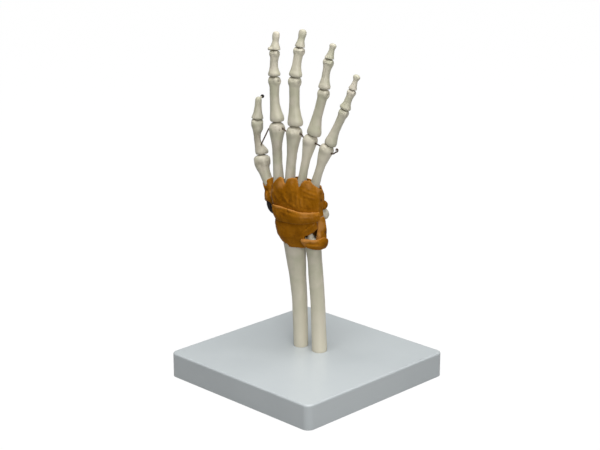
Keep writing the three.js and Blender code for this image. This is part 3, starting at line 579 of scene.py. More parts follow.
# %% [markdown]
# The thin wire is browned with age and no longer shines like clean metal, so it is only half
# metallic. The joint wires and the screws are plain steel. Both were drawn through a die, which leaves
# fine lines along them.

# %% Browned wire and steel
BROWN_LIGHT = (0.150, 0.095, 0.065, 1)
BROWN_DARK = (0.070, 0.042, 0.028, 1)
STEEL_LIGHT = (0.560, 0.560, 0.570, 1)
STEEL_DARK = (0.380, 0.380, 0.390, 1)


def metal_material(name, light, dark, roughness, metallic):
    material, tree, shader, place = start_material(name, roughness, metallic=metallic)
    mottle = place_group(
        tree, MOTTLE, Vector=place, Light=light, Dark=dark, Cloud_Scale=260, Speck_Scale=1600, Speck=0.5,
    )
    tree.links.new(mottle.outputs["Color"], shader.inputs["Base Color"])
    drawn = noise(tree, place, size=1800, detail=2, stretch=(1, 1, 0.2))
    bump(tree, shader, drawn, distance=0.03, strength=0.4)
    return material


WIRE = metal_material("browned_wire", BROWN_LIGHT, BROWN_DARK, roughness=0.5, metallic=0.5)
STEEL = metal_material("steel", STEEL_LIGHT, STEEL_DARK, roughness=0.32, metallic=1.0)
print("materials:", WIRE.name, STEEL.name)

# %% [markdown]
# The bead and the pad look like soft black rubber, dull and slightly warm. The bead stands on a pale
# peg that is one piece with it here, so an attribute called stem tells the two colours apart.

# %% Black rubber
RUBBER_LIGHT = (0.022, 0.017, 0.014, 1)
RUBBER_DARK = (0.008, 0.006, 0.005, 1)
PEG_PALE = (0.56, 0.505, 0.40, 1)


def black_material():
    material, tree, shader, place = start_material("black_rubber", roughness=0.60, specular=0.15)
    mottle = place_group(
        tree, MOTTLE, Vector=place, Light=RUBBER_LIGHT, Dark=RUBBER_DARK,
        Cloud_Scale=240, Speck_Scale=1500, Speck=0.3,
    )
    stem = add(tree, "ShaderNodeAttribute", attribute_name="stem").outputs["Fac"]
    black = mottle.outputs["Color"]
    tree.links.new(mix_colours(tree, stem, black, PEG_PALE), shader.inputs["Base Color"])
    grain = place_group(tree, GRAIN, Vector=place, Fine_Scale=2000, Pit_Scale=900, Pits=0.4)
    bump(tree, shader, grain.outputs["Height"], distance=0.08, strength=0.5)
    return material


BLACK = black_material()
print("materials:", [m.name for m in bpy.data.materials])

# %% [markdown]
# Marks are made on a rounded copy much as a modeller makes them in clay. A press sinks a soft pit, a
# roughening lifts and lowers the whole surface by clouds, and a stroke raises or cuts a short line
# where the surface faces one side. A stroke has two ends, a width and a height, and it is highest in
# its middle.

# %% Sculpting tools
def press(piece, centre, radius, depth):
    points, normals = surface_of(piece)
    away = np.linalg.norm(points - np.array(centre), axis=1) / (radius * MM)
    soft = np.clip(1 - away ** 2, 0, 1) ** 2
    set_surface(piece, points - normals * (soft * depth * MM)[:, None])


def roughen(piece, size, height, name):
    clouds = bpy.data.textures.get(name) or bpy.data.textures.new(name, "CLOUDS")
    clouds.noise_scale = size * MM
    clouds.noise_depth = 2
    shape_with(
        piece, "DISPLACE", texture=clouds, texture_coords="LOCAL",
        strength=height * MM, mid_level=0.5,
    )


def raise_strokes(piece, strokes, place, side):
    points, normals = surface_of(piece)
    facing = np.clip(normals @ np.array(side) * 2, 0, 1)
    flat = place(points)
    lift = np.zeros(len(points))
    for start, end, width, height in strokes:
        first, last = np.array(start, float), np.array(end, float)
        span = last - first
        share = np.clip(((flat - first) @ span) / (span @ span), 0, 1)
        away = np.linalg.norm(flat - first - share[:, None] * span, axis=1)
        # From about two thirds of the height at the ends to all of it in the middle
        taper = 0.4 + 0.6 * np.sin(math.pi * (0.15 + 0.7 * share))
        lift += height * taper * np.exp(-((away / width) ** 2))
    set_surface(piece, points + normals * (lift * facing * MM)[:, None])


print("sculpting tools ready")

# %% [markdown]
# The material needs to know which points lie deep. Each point is compared with its place on a much
# smoother copy: what lies under that is a hollow and gets painted shade, and what stands above it gets a
# painted highlight.
# A tint then changes the measure by listed amounts, all over or near a place in the picture.

# %% Hollows, tints and handing a piece over
def write_mask(piece, name, values):
    mask = np.clip(values, 0, 1).astype(np.float32)
    piece.data.attributes.new(name, "FLOAT", "POINT").data.foreach_set("value", mask)


def mark_hollows(piece, passes, reach):
    before, normals = surface_of(piece)
    smooth = piece.data.copy()
    ghost = bpy.data.objects.new("ghost", smooth)
    bpy.context.scene.collection.objects.link(ghost)
    shape_with(ghost, "SMOOTH", factor=0.5, iterations=passes)
    after, _ = surface_of(ghost)
    bpy.data.objects.remove(ghost)
    sunk = ((after - before) * normals).sum(axis=1) / (reach * MM)
    write_mask(piece, "hollow", 0.5 + 0.5 * sunk)


# Adds painted shade to a piece, or painted light where the change is below zero
def paint_shade_and_light(piece, change):
    hollow = piece.data.attributes["hollow"]
    mask = np.empty(len(piece.data.vertices), np.float32)
    hollow.data.foreach_get("value", mask)
    hollow.data.foreach_set("value", np.clip(mask + change, 0, 1).astype(np.float32))


def near_picture(piece, patches):
    flat = picture_place(surface_of(piece)[0])
    total = np.zeros(len(flat))
    for centre, radius, amount in patches:
        away = np.linalg.norm(flat - np.array(centre, float), axis=1)
        total += amount * np.exp(-((away / radius) ** 2))
    return total


# Painted shade and light in round patches of the picture
def paint_patches_of_shade_and_light(piece, patches):
    paint_shade_and_light(piece, near_picture(piece, patches))


def finish_piece(piece, material, body, slot, *nodes):
    piece.data.materials.append(material)
    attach(piece, body)
    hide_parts(*nodes)
    return piece


print("finishing tools ready")

# %% [markdown]
# The record that came with the CAD model says what each node is made of and which body it moves with.
# A joint turns in the head of its inner bone, and the joint's own name or the name of its inner body
# tells which bone that is.

# %% Which nodes are bones, and which head each joint turns in
slot_of = {row["node"]: row["material_slot"] for row in record["subparts"]}
body_of = {node: body for body, nodes in record["behaviour"]["bodies"].items() for node in nodes}
bone_nodes = [node for node in slot_of if slot_of[node] == "bone"]


def inner_bone(joint):
    finger = joint["name"].split("_")[0]
    if joint["parent"] == "hand":
        return f"{finger}_metacarpal"
    return f"{joint['parent']}_phalanx"


heads = {inner_bone(joint): joint for joint in frame["joints"]}
print("bones:", len(bone_nodes), "heads:", len(heads))

# %% [markdown]
# A small bone needs a finer grid than a large one, or it would lose its narrow ends. Each smoothing
# step reaches only to the next point, so a finer grid also takes more steps.

# %% Bones, as rounded copies
TIP_GRID = 0.3
FINGER_GRID = 0.42
CARPAL_GRID = 0.5
FOREARM_GRID = 0.6
FOREARM_BONES = ("radius", "ulna")


def grid_of(node):
    if node.endswith("distal_phalanx") or node.endswith("middle_phalanx"):
        return TIP_GRID
    if node.endswith("phalanx") or node.endswith("metacarpal"):
        return FINGER_GRID
    return FOREARM_GRID if node in FOREARM_BONES else CARPAL_GRID


EDGE_PASSES = {TIP_GRID: 22, FINGER_GRID: 14, CARPAL_GRID: 12, FOREARM_GRID: 12}
bones = {}
for node in bone_nodes:
    grid = grid_of(node)
    bones[node] = rounded_copy(node, node + "_bone", grid, EDGE_PASSES[grid])
print("bones:", len(bones), "faces:", sum(len(b.data.polygons) for b in bones.values()))

# %% [markdown]
# Where two bones meet, the rims stay crisp. Away from the joints each bone is smoothed much more,
# because a moulded shaft flows into its head without a crease. How far each point lies from the
# neighbouring bone decides how much it may move. Smoothing thins a shaft, so a little is given back.

# %% Smoothing away from the joints
SHAFT_PASSES = {TIP_GRID: 45, FINGER_GRID: 60, CARPAL_GRID: 20, FOREARM_GRID: 30}
CRISP_REACH = 0.9
SOFT_REACH = 3.2
REGAIN = 0.3
LEVELS = 10
FAR = 99.0


def distance_to(piece, neighbour):
    points, _ = surface_of(piece)
    tree = KDTree(len(neighbour.data.vertices))
    for index, vertex in enumerate(neighbour.data.vertices):
        tree.insert(vertex.co, index)
    tree.balance()
    return np.array([tree.find(point)[2] for point in points]) / MM


def soften(piece, away, passes):
    share = np.clip((away - CRISP_REACH) / (SOFT_REACH - CRISP_REACH), 0, 1)
    group = piece.vertex_groups.new(name="shaft")
    for level in range(1, LEVELS + 1):
        chosen = np.nonzero(np.ceil(share * LEVELS) == level)[0]
        group.add(chosen.tolist(), level / LEVELS, "REPLACE")
    shape_with(piece, "SMOOTH", factor=0.5, iterations=passes, vertex_group="shaft")
    shape_with(piece, "DISPLACE", strength=REGAIN * MM, mid_level=0, vertex_group="shaft")
    piece.vertex_groups.remove(piece.vertex_groups["shaft"])


outer_of = {node: f"{joint['child']}_phalanx" for node, joint in heads.items()}
gaps = {node: np.full(len(piece.data.vertices), FAR) for node, piece in bones.items()}
for inner, outer in outer_of.items():
    gaps[outer] = np.minimum(gaps[outer], distance_to(bones[outer], bones[inner]))
    gaps[inner] = np.minimum(gaps[inner], distance_to(bones[inner], bones[outer]))
for node, piece in bones.items():
    soften(piece, gaps[node], SHAFT_PASSES[grid_of(node)])
print("closest bones, in mm:", round(min(gap.min() for gap in gaps.values()), 2))

# %% [markdown]
# The small marks come last, such as the bumpy crowns on the knuckles and the spur at the foot of a
# finger's last bone. They are strokes, with their ends and widths in pixels of the picture and their
# heights in millimetres, below zero for a groove. The front marks lie where a bone faces the camera.
# The right and left marks lie where it faces to one side, and so they shape the outline.

# %% Strokes on the bones
to_right = camera.rotation_quaternion @ Vector((1, 0, 0))
FRONT_MARKS = {
    "index_metacarpal": [
        ((274, 126.4), (281, 125.8), 0.9, 0.3), ((275.2, 130.4), (275.6, 131.2), 0.9, -0.3),
        ((279.4, 129.8), (279.8, 130.6), 0.9, -0.25), ((277, 131.6), (277.4, 134), 1.0, 0.35),
        ((272.4, 131), (273, 135), 1.2, 0.4), ((281.6, 130), (282, 134), 1.2, 0.35),
    ],
    "middle_metacarpal": [
        ((292.6, 131), (293, 132), 0.9, -0.25), ((297.4, 131.6), (297.8, 132.6), 0.9, -0.25),
        ((295, 132), (295.4, 135), 1.0, 0.35), ((290.4, 132), (291, 136), 1.2, 0.35),
        ((299.6, 132), (300, 136), 1.2, 0.3),
    ],
    "little_metacarpal": [((322, 149.5), (323, 150.5), 0.9, 0.3), ((325, 148), (326, 149), 0.9, 0.3)],
    "thumb_metacarpal": [((256, 161), (261, 165), 2.2, -0.3), ((263, 158), (267, 173), 2.0, 0.3)],
    "index_proximal_phalanx": [((272.6, 80), (272.6, 84), 1.0, -0.3), ((276, 79.6), (276, 85), 1.2, 0.25)],
    "index_middle_phalanx": [((273.5, 52), (273.5, 56), 1.0, -0.2), ((275.5, 54), (275, 66), 1.3, 0.25)],
    "middle_middle_phalanx": [((296, 50.4), (302, 51), 0.8, 0.25), ((298.4, 54), (296, 68), 1.4, 0.2)],
    "ring_middle_phalanx": [((325.4, 63), (330.5, 64), 0.8, 0.3), ((327, 66), (323.6, 84), 1.4, 0.2)],
    "middle_proximal_phalanx": [((290.4, 82), (291, 104), 1.3, 0.25)],
}
RIGHT_MARKS = {
    "index_metacarpal": [((283.6, 127), (284, 132), 1.6, 0.4), ((283, 139), (283, 147), 3.4, -0.5)],
    "middle_metacarpal": [((300.6, 139), (299.6, 147), 3.4, -0.4)],
    "ring_metacarpal": [((315, 143), (312, 152), 3.4, -0.4)],
    "little_metacarpal": [((331, 156), (328, 163), 3.4, -0.3)],
    "thumb_metacarpal": [((270, 156), (270.4, 159), 2.0, 0.3)],
    "thumb_proximal_phalanx": [((263.6, 144), (261.4, 138), 2.2, -0.9)],
    "index_proximal_phalanx": [((280, 80), (280, 84), 1.5, 0.5)],
    "middle_proximal_phalanx": [((300, 79), (300.3, 84), 1.5, 0.5)],
    "ring_proximal_phalanx": [((328.6, 92), (328.2, 97), 1.6, 0.35)],
    "middle_middle_phalanx": [((303.6, 49), (303.6, 54), 1.5, 0.5)],
    "ring_middle_phalanx": [((332.4, 62), (332, 67), 1.5, 0.5)],
}
LEFT_MARKS = {
    "index_metacarpal": [((271.6, 139), (272.4, 147), 3.4, -0.4)],
    "middle_metacarpal": [((287.4, 139), (287.8, 147), 3.4, -0.4)],
    "ring_metacarpal": [((303.6, 146), (301.6, 153), 3.4, -0.4)],
    "index_distal_phalanx": [((269, 48.4), (270.6, 48.9), 1.2, 1.7)],
    "ring_distal_phalanx": [((325.4, 57.4), (326.4, 58), 0.9, 0.7)],
    "thumb_metacarpal": [((254.6, 154), (254, 158), 1.8, 0.3)],
}
print("bones with strokes:", len({*FRONT_MARKS, *RIGHT_MARKS, *LEFT_MARKS}))

# %% [markdown]
# Some places of the bones are lit more and some less, and this light and shade is painted on. A patch
# is a round place in the picture with its middle, its radius in pixels and its amount. The first list
# adds painted shade, and below zero it paints a highlight instead. The second paints light on.

# %% Painted light and shade on the bones
SHADE_PATCHES = {
    "index_metacarpal": [
        ((279, 150), 13, 0.2), ((275.4, 126.9), 1.0, 0.22), ((279.2, 130.4), 0.9, 0.2),
        ((283.4, 128), 1.3, 0.1), ((272.6, 132.6), 1.3, -0.2), ((281, 132.6), 1.0, -0.2),
        ((276, 131.6), 1.2, -0.15),
    ],
    "middle_metacarpal": [
        ((291, 130.6), 0.9, 0.15), ((292.8, 134.6), 1.0, 0.16), ((299, 132.6), 1.1, 0.14),
        ((295.6, 132.4), 1.4, -0.15), ((290, 136), 1.3, -0.15),
    ],
    "ring_metacarpal": [((306, 139), 1.2, 0.08), ((311, 142), 1.5, 0.06)],
    "little_metacarpal": [((322.5, 148.5), 1.0, 0.12), ((328, 150), 1.2, 0.08)],
    "thumb_metacarpal": [((265, 168), 11, 0.18), ((257.6, 162.6), 3.4, 0.1)],
    "thumb_proximal_phalanx": [((257, 138), 13, 0.26), ((259, 149), 3, 0.05)],
    "ulna": [((311.5, 237), 4, -0.7)],
}
LIGHT_PATCHES = {
    "ring_metacarpal": [((306, 157), 15, 0.9)],
    "little_metacarpal": [((322, 165), 14, 0.7)],
    "index_distal_phalanx": [((276, 36), 10, 0.4)],
    "middle_middle_phalanx": [((297, 62), 10, 0.7)],
    "ulna": [((311.5, 237), 4, 1)],
}
print("bones with patches:", len({*SHADE_PATCHES, *LIGHT_PATCHES}))

# %% [markdown]
# A real bone has a pit at each side of its head, where a ligament held. Each is pressed in where the
# hinge's axis leaves the bone. The forearm bones are cut square and stand in the base, so their feet
# go down into it, and light is painted on them there, as the base lights them from below. The lumps
# may lift the highest fingertip past the top of the CAD model, so its end is drawn down again.

# %% Pits, fingertips and feet
PIT_RADIUS = 0.42
PIT_DEPTH = 0.13
AXIS_REACH = 1.5
TIP_REACH = 4
FOOT_SINK = 1.6
FOOT_REACH = 4
LIT_FOOT_REACH = 75


def press_side_pits(piece, joint):
    centre = Vector(joint["pos_m"])
    axis = Vector(joint["axis"]).normalized()
    points, _ = surface_of(piece)
    along = (points - np.array(centre)) @ np.array(axis)
    beside = np.linalg.norm(points - np.array(centre) - along[:, None] * np.array(axis), axis=1)
    near = along[beside < AXIS_REACH * MM]
    for end in (near.min(), near.max()):
        width = abs(end) / MM
        press(piece, centre + axis * end, PIT_RADIUS * width, PIT_DEPTH * width)


def keep_under(piece, top):
    points, _ = surface_of(piece)
    highest = points[:, 2].max()
    share = np.clip(1 - (highest - points[:, 2]) / (TIP_REACH * MM), 0, 1)
    points[:, 2] -= max(0, highest - top) * share
    set_surface(piece, points)


def sink_foot(piece):
    points, _ = surface_of(piece)
    height = (points[:, 2] - points[:, 2].min()) / MM
    points[:, 2] -= FOOT_SINK * MM * np.clip(1 - height / FOOT_REACH, 0, 1)
    set_surface(piece, points)
    # The share of painted light: the base lights the foot from below, fading upwards
    return np.clip(1 - (height - FOOT_REACH) / LIT_FOOT_REACH, 0, 1)


print("tools for pits, fingertips and feet ready")

# %% [markdown]
# Now each bone gets its own marks, and clouds in two sizes make it slightly uneven everywhere. Two
# bones of the wrist are lumpier than the rest. The rims in the gaps between the bones get painted
# shade, as the hollows do, and the patches and the forearm feet get their painted light and shade.

# %% Marks on the bones
LUMPY_BONES = ("pisiform", "trapezium")
JOINT_SHADE_REACH = 1.3
JOINT_SHADE_FADE = 0.91
JOINT_SHADE = 0.5
sides = ((FRONT_MARKS, towards_camera), (RIGHT_MARKS, to_right), (LEFT_MARKS, -to_right))
for node, piece in bones.items():
    if node in heads:
        press_side_pits(piece, heads[node])
    for marks, side in sides:
        raise_strokes(piece, marks.get(node, ()), picture_place, side)
    if node in LUMPY_BONES:
        roughen(piece, size=5.5, height=1.3, name="carpal_lumps")
    roughen(piece, size=5.0, height=0.22, name="bone_lumps")
    roughen(piece, size=1.4, height=0.06, name="bone_pores")
    keep_under(piece, cad_box[1][2])
    mark_hollows(piece, passes=30, reach=0.6)
    # Painted shade on the rims where two bones meet
    paint_shade_and_light(piece, JOINT_SHADE * np.clip((JOINT_SHADE_REACH - gaps[node]) / JOINT_SHADE_FADE, 0, 1))
    paint_patches_of_shade_and_light(piece, SHADE_PATCHES.get(node, ()))
    painted_light = near_picture(piece, LIGHT_PATCHES.get(node, ()))
    if node in FOREARM_BONES:
        painted_light += sink_foot(piece)
    write_mask(piece, "painted_light", painted_light)
    finish_piece(piece, BONE, body_of[node], "bone", node)
print("bones marked:", len(bones))

# %% [markdown]
# The ligaments are sheets of glued fibre, brushed with brown varnish. Their copies are rounded, and
# then strands are raised on them by strokes, as a modeller would with a wet brush. On the back of
# the wrist a stroke has its place in the picture. The picture doesn't show the palm side, so there
# its place is across and up the hand, in millimetres.

# %% Ligament tools
towards_palm = to_row.to_3x3() @ Vector((0, 1, 0))


def palm_place(points):
    to_local = np.array(to_hand)
    return (points @ to_local[:3, :3].T + to_local[:3, 3])[:, [0, 2]] / MM


def make_ligament(node, material, back_strokes=(), palm_strokes=(), patches=()):
    piece = rounded_copy(node, node + "_sheet", grid=0.42, passes=16, swell=0.25)
    raise_strokes(piece, back_strokes, picture_place, towards_camera)
    raise_strokes(piece, palm_strokes, palm_place, towards_palm)
    roughen(piece, size=3.4, height=0.55, name="ligament_lumps")
    roughen(piece, size=1.3, height=0.08, name="ligament_ripples")
    mark_hollows(piece, passes=40, reach=0.8)
    # Painted shade and highlights from the patches
    paint_patches_of_shade_and_light(piece, patches)
    return finish_piece(piece, material, "hand", "ligament", node)


print("ligament tools ready")

# %% [markdown]
# Six pieces show on the back: the sheet over the feet of the hand's bones, the sheet over the radius,
# the raised band between them, the strap and the strip round the three-cornered hole, and the sleeve
# at the foot of the thumb. Strokes raise the strands and folds of each, one by one.

# %% Strands and folds on the back of the wrist
HAND_SHEET_STROKES = [
    ((280, 181), (278, 190), 3.0, 0.8), ((292, 180), (291, 192), 3.2, 0.7),
    ((308, 185), (310, 190), 3.5, 0.6), ((286, 184), (285.5, 193), 1.3, -0.4),
    ((300, 187), (299, 195), 1.5, -0.4), ((275.5, 186), (277, 194), 1.2, -0.3),
    ((284, 196.5), (286.8, 201), 1.1, 0.7), ((292.3, 195.5), (292.3, 200), 1.0, 0.6),
    ((297, 196.5), (297, 206), 1.1, 0.7), ((301, 199), (301, 206), 1.0, 0.7),
    ((271.5, 195.5), (274, 201.5), 1.2, 0.5), ((289, 194), (289, 204), 1.3, -0.3),
    ((303.6, 198), (303.6, 208), 1.1, -0.4), ((281, 195), (283, 203), 1.3, -0.3),
    ((303.5, 191), (315, 195.4), 1.4, 0.5), ((304.5, 196.2), (314.5, 199), 1.3, 0.45),
    ((306.5, 201), (309, 207), 2.0, 0.4), ((314, 199), (317, 208), 2.2, 0.4),
    ((287.5, 202.5), (295.5, 207.5), 1.4, 0.5), ((305, 209), (311, 210), 1.6, -0.3),
    ((274.5, 193), (279, 200), 1.4, 0.4), ((320, 203), (323, 208), 2.0, 0.6),
    ((316, 190), (319.5, 199), 2.0, 0.5),
]
RADIUS_SHEET_STROKES = [
    ((280, 221.5), (290, 224), 1.8, -0.6), ((277, 227), (282, 237), 2.6, 0.5),
    ((284, 230), (288, 242), 3.4, 0.5), ((303, 233), (314, 224), 1.3, 0.7),
    ((296, 226), (306, 226), 1.8, 0.3),
]
BAND_STROKES = [
    ((275.5, 206.6), (285, 207.6), 1.6, 0.7), ((287, 209.8), (295, 212), 1.6, 0.7),
    ((297, 214), (312, 214), 1.8, 0.8), ((286.8, 208.5), (287.6, 213), 1.0, -0.4),
    ((277, 212), (285, 217), 2.6, -0.3), ((292, 217.5), (312, 217.5), 2.2, 0.4),
    ((312, 214), (318, 215.5), 1.8, 0.5),
]
STRAP_STROKES = [
    ((318.5, 221), (319.5, 230), 1.6, 0.7), ((317.5, 232), (320, 239), 1.8, 0.7),
    ((323, 222), (325, 236), 1.4, -0.3),
]
STRIP_STROKES = [
    ((300.5, 241.4), (318, 241.6), 1.3, 0.8), ((300.5, 244), (318, 244.4), 0.9, -0.5),
    ((302, 247), (322, 246.4), 1.5, 0.5),
]
CAPSULE_STROKES = [
    ((270.7, 195.5), (273.5, 201.5), 1.2, 0.5), ((266, 186), (268, 193), 1.4, -0.35),
    ((270, 184), (271, 191), 1.8, 0.5), ((267, 192.5), (265.6, 197), 1.2, 0.8),
    ((268.8, 194), (268.6, 199), 0.9, -0.5),
]
print("strokes on the largest sheet:", len(HAND_SHEET_STROKES))

# %% [markdown]
# A patch above zero paints shade, as in a hollow, and one below zero paints a paler highlight. With its
# strokes and its patches, each piece is then made by one call.

# %% Ligaments of the back of the wrist
HAND_SHEET_PATCHES = [
    ((281, 184), 4, -0.3), ((292, 182), 3, -0.15), ((308, 186), 5, -0.2), ((319, 190), 2.5, -0.3),
    ((279, 199), 6, 0.14), ((290, 203), 5, 0.14), ((307, 206), 4, 0.1), ((296, 188), 3, 0.08),
    ((322, 200), 2, 0.3), ((321, 193), 1.6, 0.25), ((272.6, 190), 1.5, -0.3),
]
RADIUS_SHEET_PATCHES = [
    ((283, 219.5), 2.6, 0.4), ((297, 235), 6, 0.17), ((309, 228), 3.6, 0.12), ((276, 233), 2, 0.14),
    ((288, 242), 6, 0.1),
]
BAND_PATCHES = [
    ((284, 214), 5, 0.18), ((304, 215), 5, -0.2), ((278, 207), 3, -0.15), ((291, 220), 3, 0.1),
    ((312, 217), 3, -0.12),
]
STRAP_PATCHES = [
    ((319, 226), 4.5, -0.75), ((316.5, 235), 3.5, -0.7), ((326.6, 232), 2.4, 0.45),
    ((327, 242), 2.5, 0.35),
]
STRIP_PATCHES = [
    ((304, 241.5), 4, -0.65), ((313, 241), 3, -0.4), ((309, 247), 5, 0.15), ((326, 245), 3, 0.2),
]
CAPSULE_PATCHES = [
    ((266, 189), 2.6, 0.25), ((272, 185), 2.5, -0.1), ((265.6, 197), 1.5, -0.3),
    ((271.4, 193), 3, -0.25),
]
back_pieces = [
    make_ligament(node, fibres, back_strokes=strokes, patches=patches)
    for node, fibres, strokes, patches in (
        ("dorsal_carpometacarpal_ligament", UPRIGHT_FIBRES, HAND_SHEET_STROKES, HAND_SHEET_PATCHES),
        ("dorsal_radiocarpal_ligament", SLANTED_FIBRES, RADIUS_SHEET_STROKES, RADIUS_SHEET_PATCHES),
        ("dorsal_intercarpal_ligament", ACROSS_FIBRES, BAND_STROKES, BAND_PATCHES),
        ("ulnar_collateral_ligament", UPRIGHT_FIBRES, STRAP_STROKES, STRAP_PATCHES),
        ("distal_radioulnar_ligament", ACROSS_FIBRES, STRIP_STROKES, STRIP_PATCHES),
        ("thumb_joint_capsule", UPRIGHT_FIBRES, CAPSULE_STROKES, CAPSULE_PATCHES),
    )
]
print("back of the wrist:", [piece.name for piece in back_pieces])

# %% [markdown]
# On the palm side two sheets spread like fans from the forearm to the hand, and a band closes them
# in from side to side. Nothing shows how the real strands lie, so only the first and the last strand
# of each piece are given, and the rest lie evenly between them, groove and ridge in turn. A fourth
# piece, on the thumb side, is left plain.

# %% Ligaments of the palm side
LOWER_FAN = (((-26, 92), (-36, 128)), ((6, 92), (12, 128)))
UPPER_FAN = (((-28, 128), (-38, 156)), ((4, 128), (10, 156)))
CROSS_BAND = (((-32, 122.5), (16, 125.5)), ((-32, 144.5), (16, 147.5)))
# Painted shade on the upper fan near its edge
UPPER_FAN_PATCHES = [((326, 205), 3.5, 0.3)]


def strands_between(ends, count, width, ridge, groove):
    first, last = np.array(ends)
    strokes = []
    for step in range(count):
        foot, top = first + (last - first) * step / (count - 1)
        strokes.append((foot, top, width, ridge if step % 2 else groove))
    return strokes


lower_strands = strands_between(LOWER_FAN, 13, width=1.0, ridge=0.75, groove=-0.45)
upper_strands = strands_between(UPPER_FAN, 15, width=1.0, ridge=0.75, groove=-0.45)
cross_strands = strands_between(CROSS_BAND, 7, width=0.9, ridge=0.5, groove=-0.4)
palm_pieces = [
    make_ligament(node, fibres, palm_strokes=strokes, patches=patches)
    for node, fibres, strokes, patches in (
        ("palmar_radiocarpal_ligament", SLANTED_FIBRES, lower_strands, ()),
        ("palmar_carpometacarpal_ligament", UPRIGHT_FIBRES, upper_strands, UPPER_FAN_PATCHES),
        ("flexor_retinaculum", ACROSS_FIBRES, cross_strands, ()),
        ("radial_collateral_ligament", UPRIGHT_FIBRES, (), ()),
    )
]
print("palm side:", [piece.name for piece in palm_pieces])

# %% [markdown]
# The base is an open box, moulded in one piece: four walls under a flat top, with rounded corners
# and a softened top edge. It starts as a cube, whose upright edges and then top edge are bevelled.
# The underside is then inset by the wall and pushed up.

# %% Base
BASE_SIDE = 180
BASE_HEIGHT = 23.4
BASE_CORNER = 7
BASE_EDGE = 1.8
BASE_WALL = 2.6
BASE_TOP = 3.0


def deselect_mesh(piece):
    for parts in (piece.data.vertices, piece.data.edges, piece.data.polygons):
        parts.foreach_set("select", [False] * len(parts))


def select_faces(piece, test):
    deselect_mesh(piece)
    for face in piece.data.polygons:
        face.select = test(face)


def select_edges(piece, test):
    deselect_mesh(piece)
    for line in piece.data.edges:
        ends = [piece.data.vertices[i].co for i in line.vertices]
        line.select = test(*ends)


def place_applied(piece, scale=None):
    pick(piece)
    if scale:
        piece.scale = scale
    bpy.ops.object.transform_apply(location=True, rotation=True, scale=True)
    return piece


bpy.ops.object.select_all(action="DESELECT")
bpy.ops.mesh.primitive_cube_add(size=1, location=(0, 0, BASE_HEIGHT / 2 * MM))
base = bpy.context.object
base.name = "base_box"
place_applied(base, (BASE_SIDE * MM, BASE_SIDE * MM, BASE_HEIGHT * MM))
bpy.context.tool_settings.mesh_select_mode = (False, True, False)
select_edges(base, lambda a, b: abs(a.z - b.z) > BASE_HEIGHT / 2 * MM)
edit(base, lambda: bpy.ops.mesh.bevel(offset=BASE_CORNER * MM, segments=14, affect="EDGES"))
top_level = (BASE_HEIGHT - HAIR) * MM
select_edges(base, lambda a, b: a.z > top_level and b.z > top_level)
edit(base, lambda: bpy.ops.mesh.bevel(offset=BASE_EDGE * MM, segments=6, affect="EDGES"))
bpy.context.tool_settings.mesh_select_mode = (False, False, True)
select_faces(base, lambda face: face.normal.z < -0.9)
edit(
    base,
    lambda: bpy.ops.mesh.inset(thickness=BASE_WALL * MM),
    lambda: bpy.ops.mesh.extrude_region_move(
        TRANSFORM_OT_translate={"value": (0, 0, (BASE_HEIGHT - BASE_TOP) * MM)}
    ),
)
print("base faces:", len(base.data.polygons))

# %% [markdown]
# Under each forearm bone a boss hangs from the roof of the box, and a hole for the screw goes through
# both. One boolean joins the boss on and another cuts the hole. Then every sharp edge is eased a
# little, as moulded plastic never has a sharp one.

# %% Screw bosses under the forearm bones
BOSS_RADIUS = 6
BOSS_DROP = 11
DRILL_RADIUS = 1.95
DRILL_PAST = 5
BOSS_ROOT = 1
EDGE_EASE = 0.35
ROUND_SIDES = 48
screw_nodes = ("radius_base_screw", "ulna_base_screw")


def middle_of(node):
    low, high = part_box(node)
    return (low + high) / 2


def cut_or_join(piece, tool, operation):
    shape_with(piece, "BOOLEAN", object=tool, operation=operation, solver="EXACT")
    bpy.data.objects.remove(tool)


def cylinder(radius, low, high, place):
    bpy.ops.object.select_all(action="DESELECT")
    bpy.ops.mesh.primitive_cylinder_add(
        vertices=ROUND_SIDES, radius=radius * MM, depth=(high - low) * MM,
        location=(place.x, place.y, (low + high) / 2 * MM),
    )
    return place_applied(bpy.context.object)


roof = BASE_HEIGHT - BASE_TOP
for node in screw_nodes:
    boss = cylinder(BOSS_RADIUS, roof - BOSS_DROP, roof + BOSS_ROOT, middle_of(node))
    cut_or_join(base, boss, "UNION")
    drill = cylinder(DRILL_RADIUS, -DRILL_PAST, BASE_HEIGHT + DRILL_PAST, middle_of(node))
    cut_or_join(base, drill, "DIFFERENCE")
shape_with(
    base, "BEVEL", width=EDGE_EASE * MM, segments=2,
    limit_method="ANGLE", angle_limit=math.radians(50),
)
bpy.ops.object.shade_smooth_by_angle(angle=math.radians(35))
shape_with(base, "WEIGHTED_NORMAL", weight=100, keep_sharp=True)
finish_piece(base, BASE, "hand", "base", "base_shell")
print("base faces with bosses:", len(base.data.polygons))

# %% [markdown]
# Two plain steel screws come up through the bosses into the bones. They show only when the model is
# turned over, so each has a domed head with a cross cut in it and a plain shank.

# %% Base screws
HEAD_RADIUS = 4
HEAD_HEIGHT = 2.4
HEAD_ROUND = 1.1
HEAD_GAP = 0.35
SHANK_RADIUS = 1.6
SHANK_REACH = 11
SHANK_ROOT = 0.5
CROSS_LENGTH = 4.4
CROSS_WIDTH = 0.9
CROSS_DEPTH = 1.5
CROSS_PAST = 1
CROSS_TURNS = (math.radians(20), math.radians(110))
SEAT = roof - BOSS_DROP - HEAD_GAP


def bar(place, length, width, low, high, turn):
    bpy.ops.object.select_all(action="DESELECT")
    centre = (place.x, place.y, (low + high) / 2 * MM)
    bpy.ops.mesh.primitive_cube_add(size=1, location=centre, rotation=(0, 0, turn))
    return place_applied(bpy.context.object, (length * MM, width * MM, (high - low) * MM))


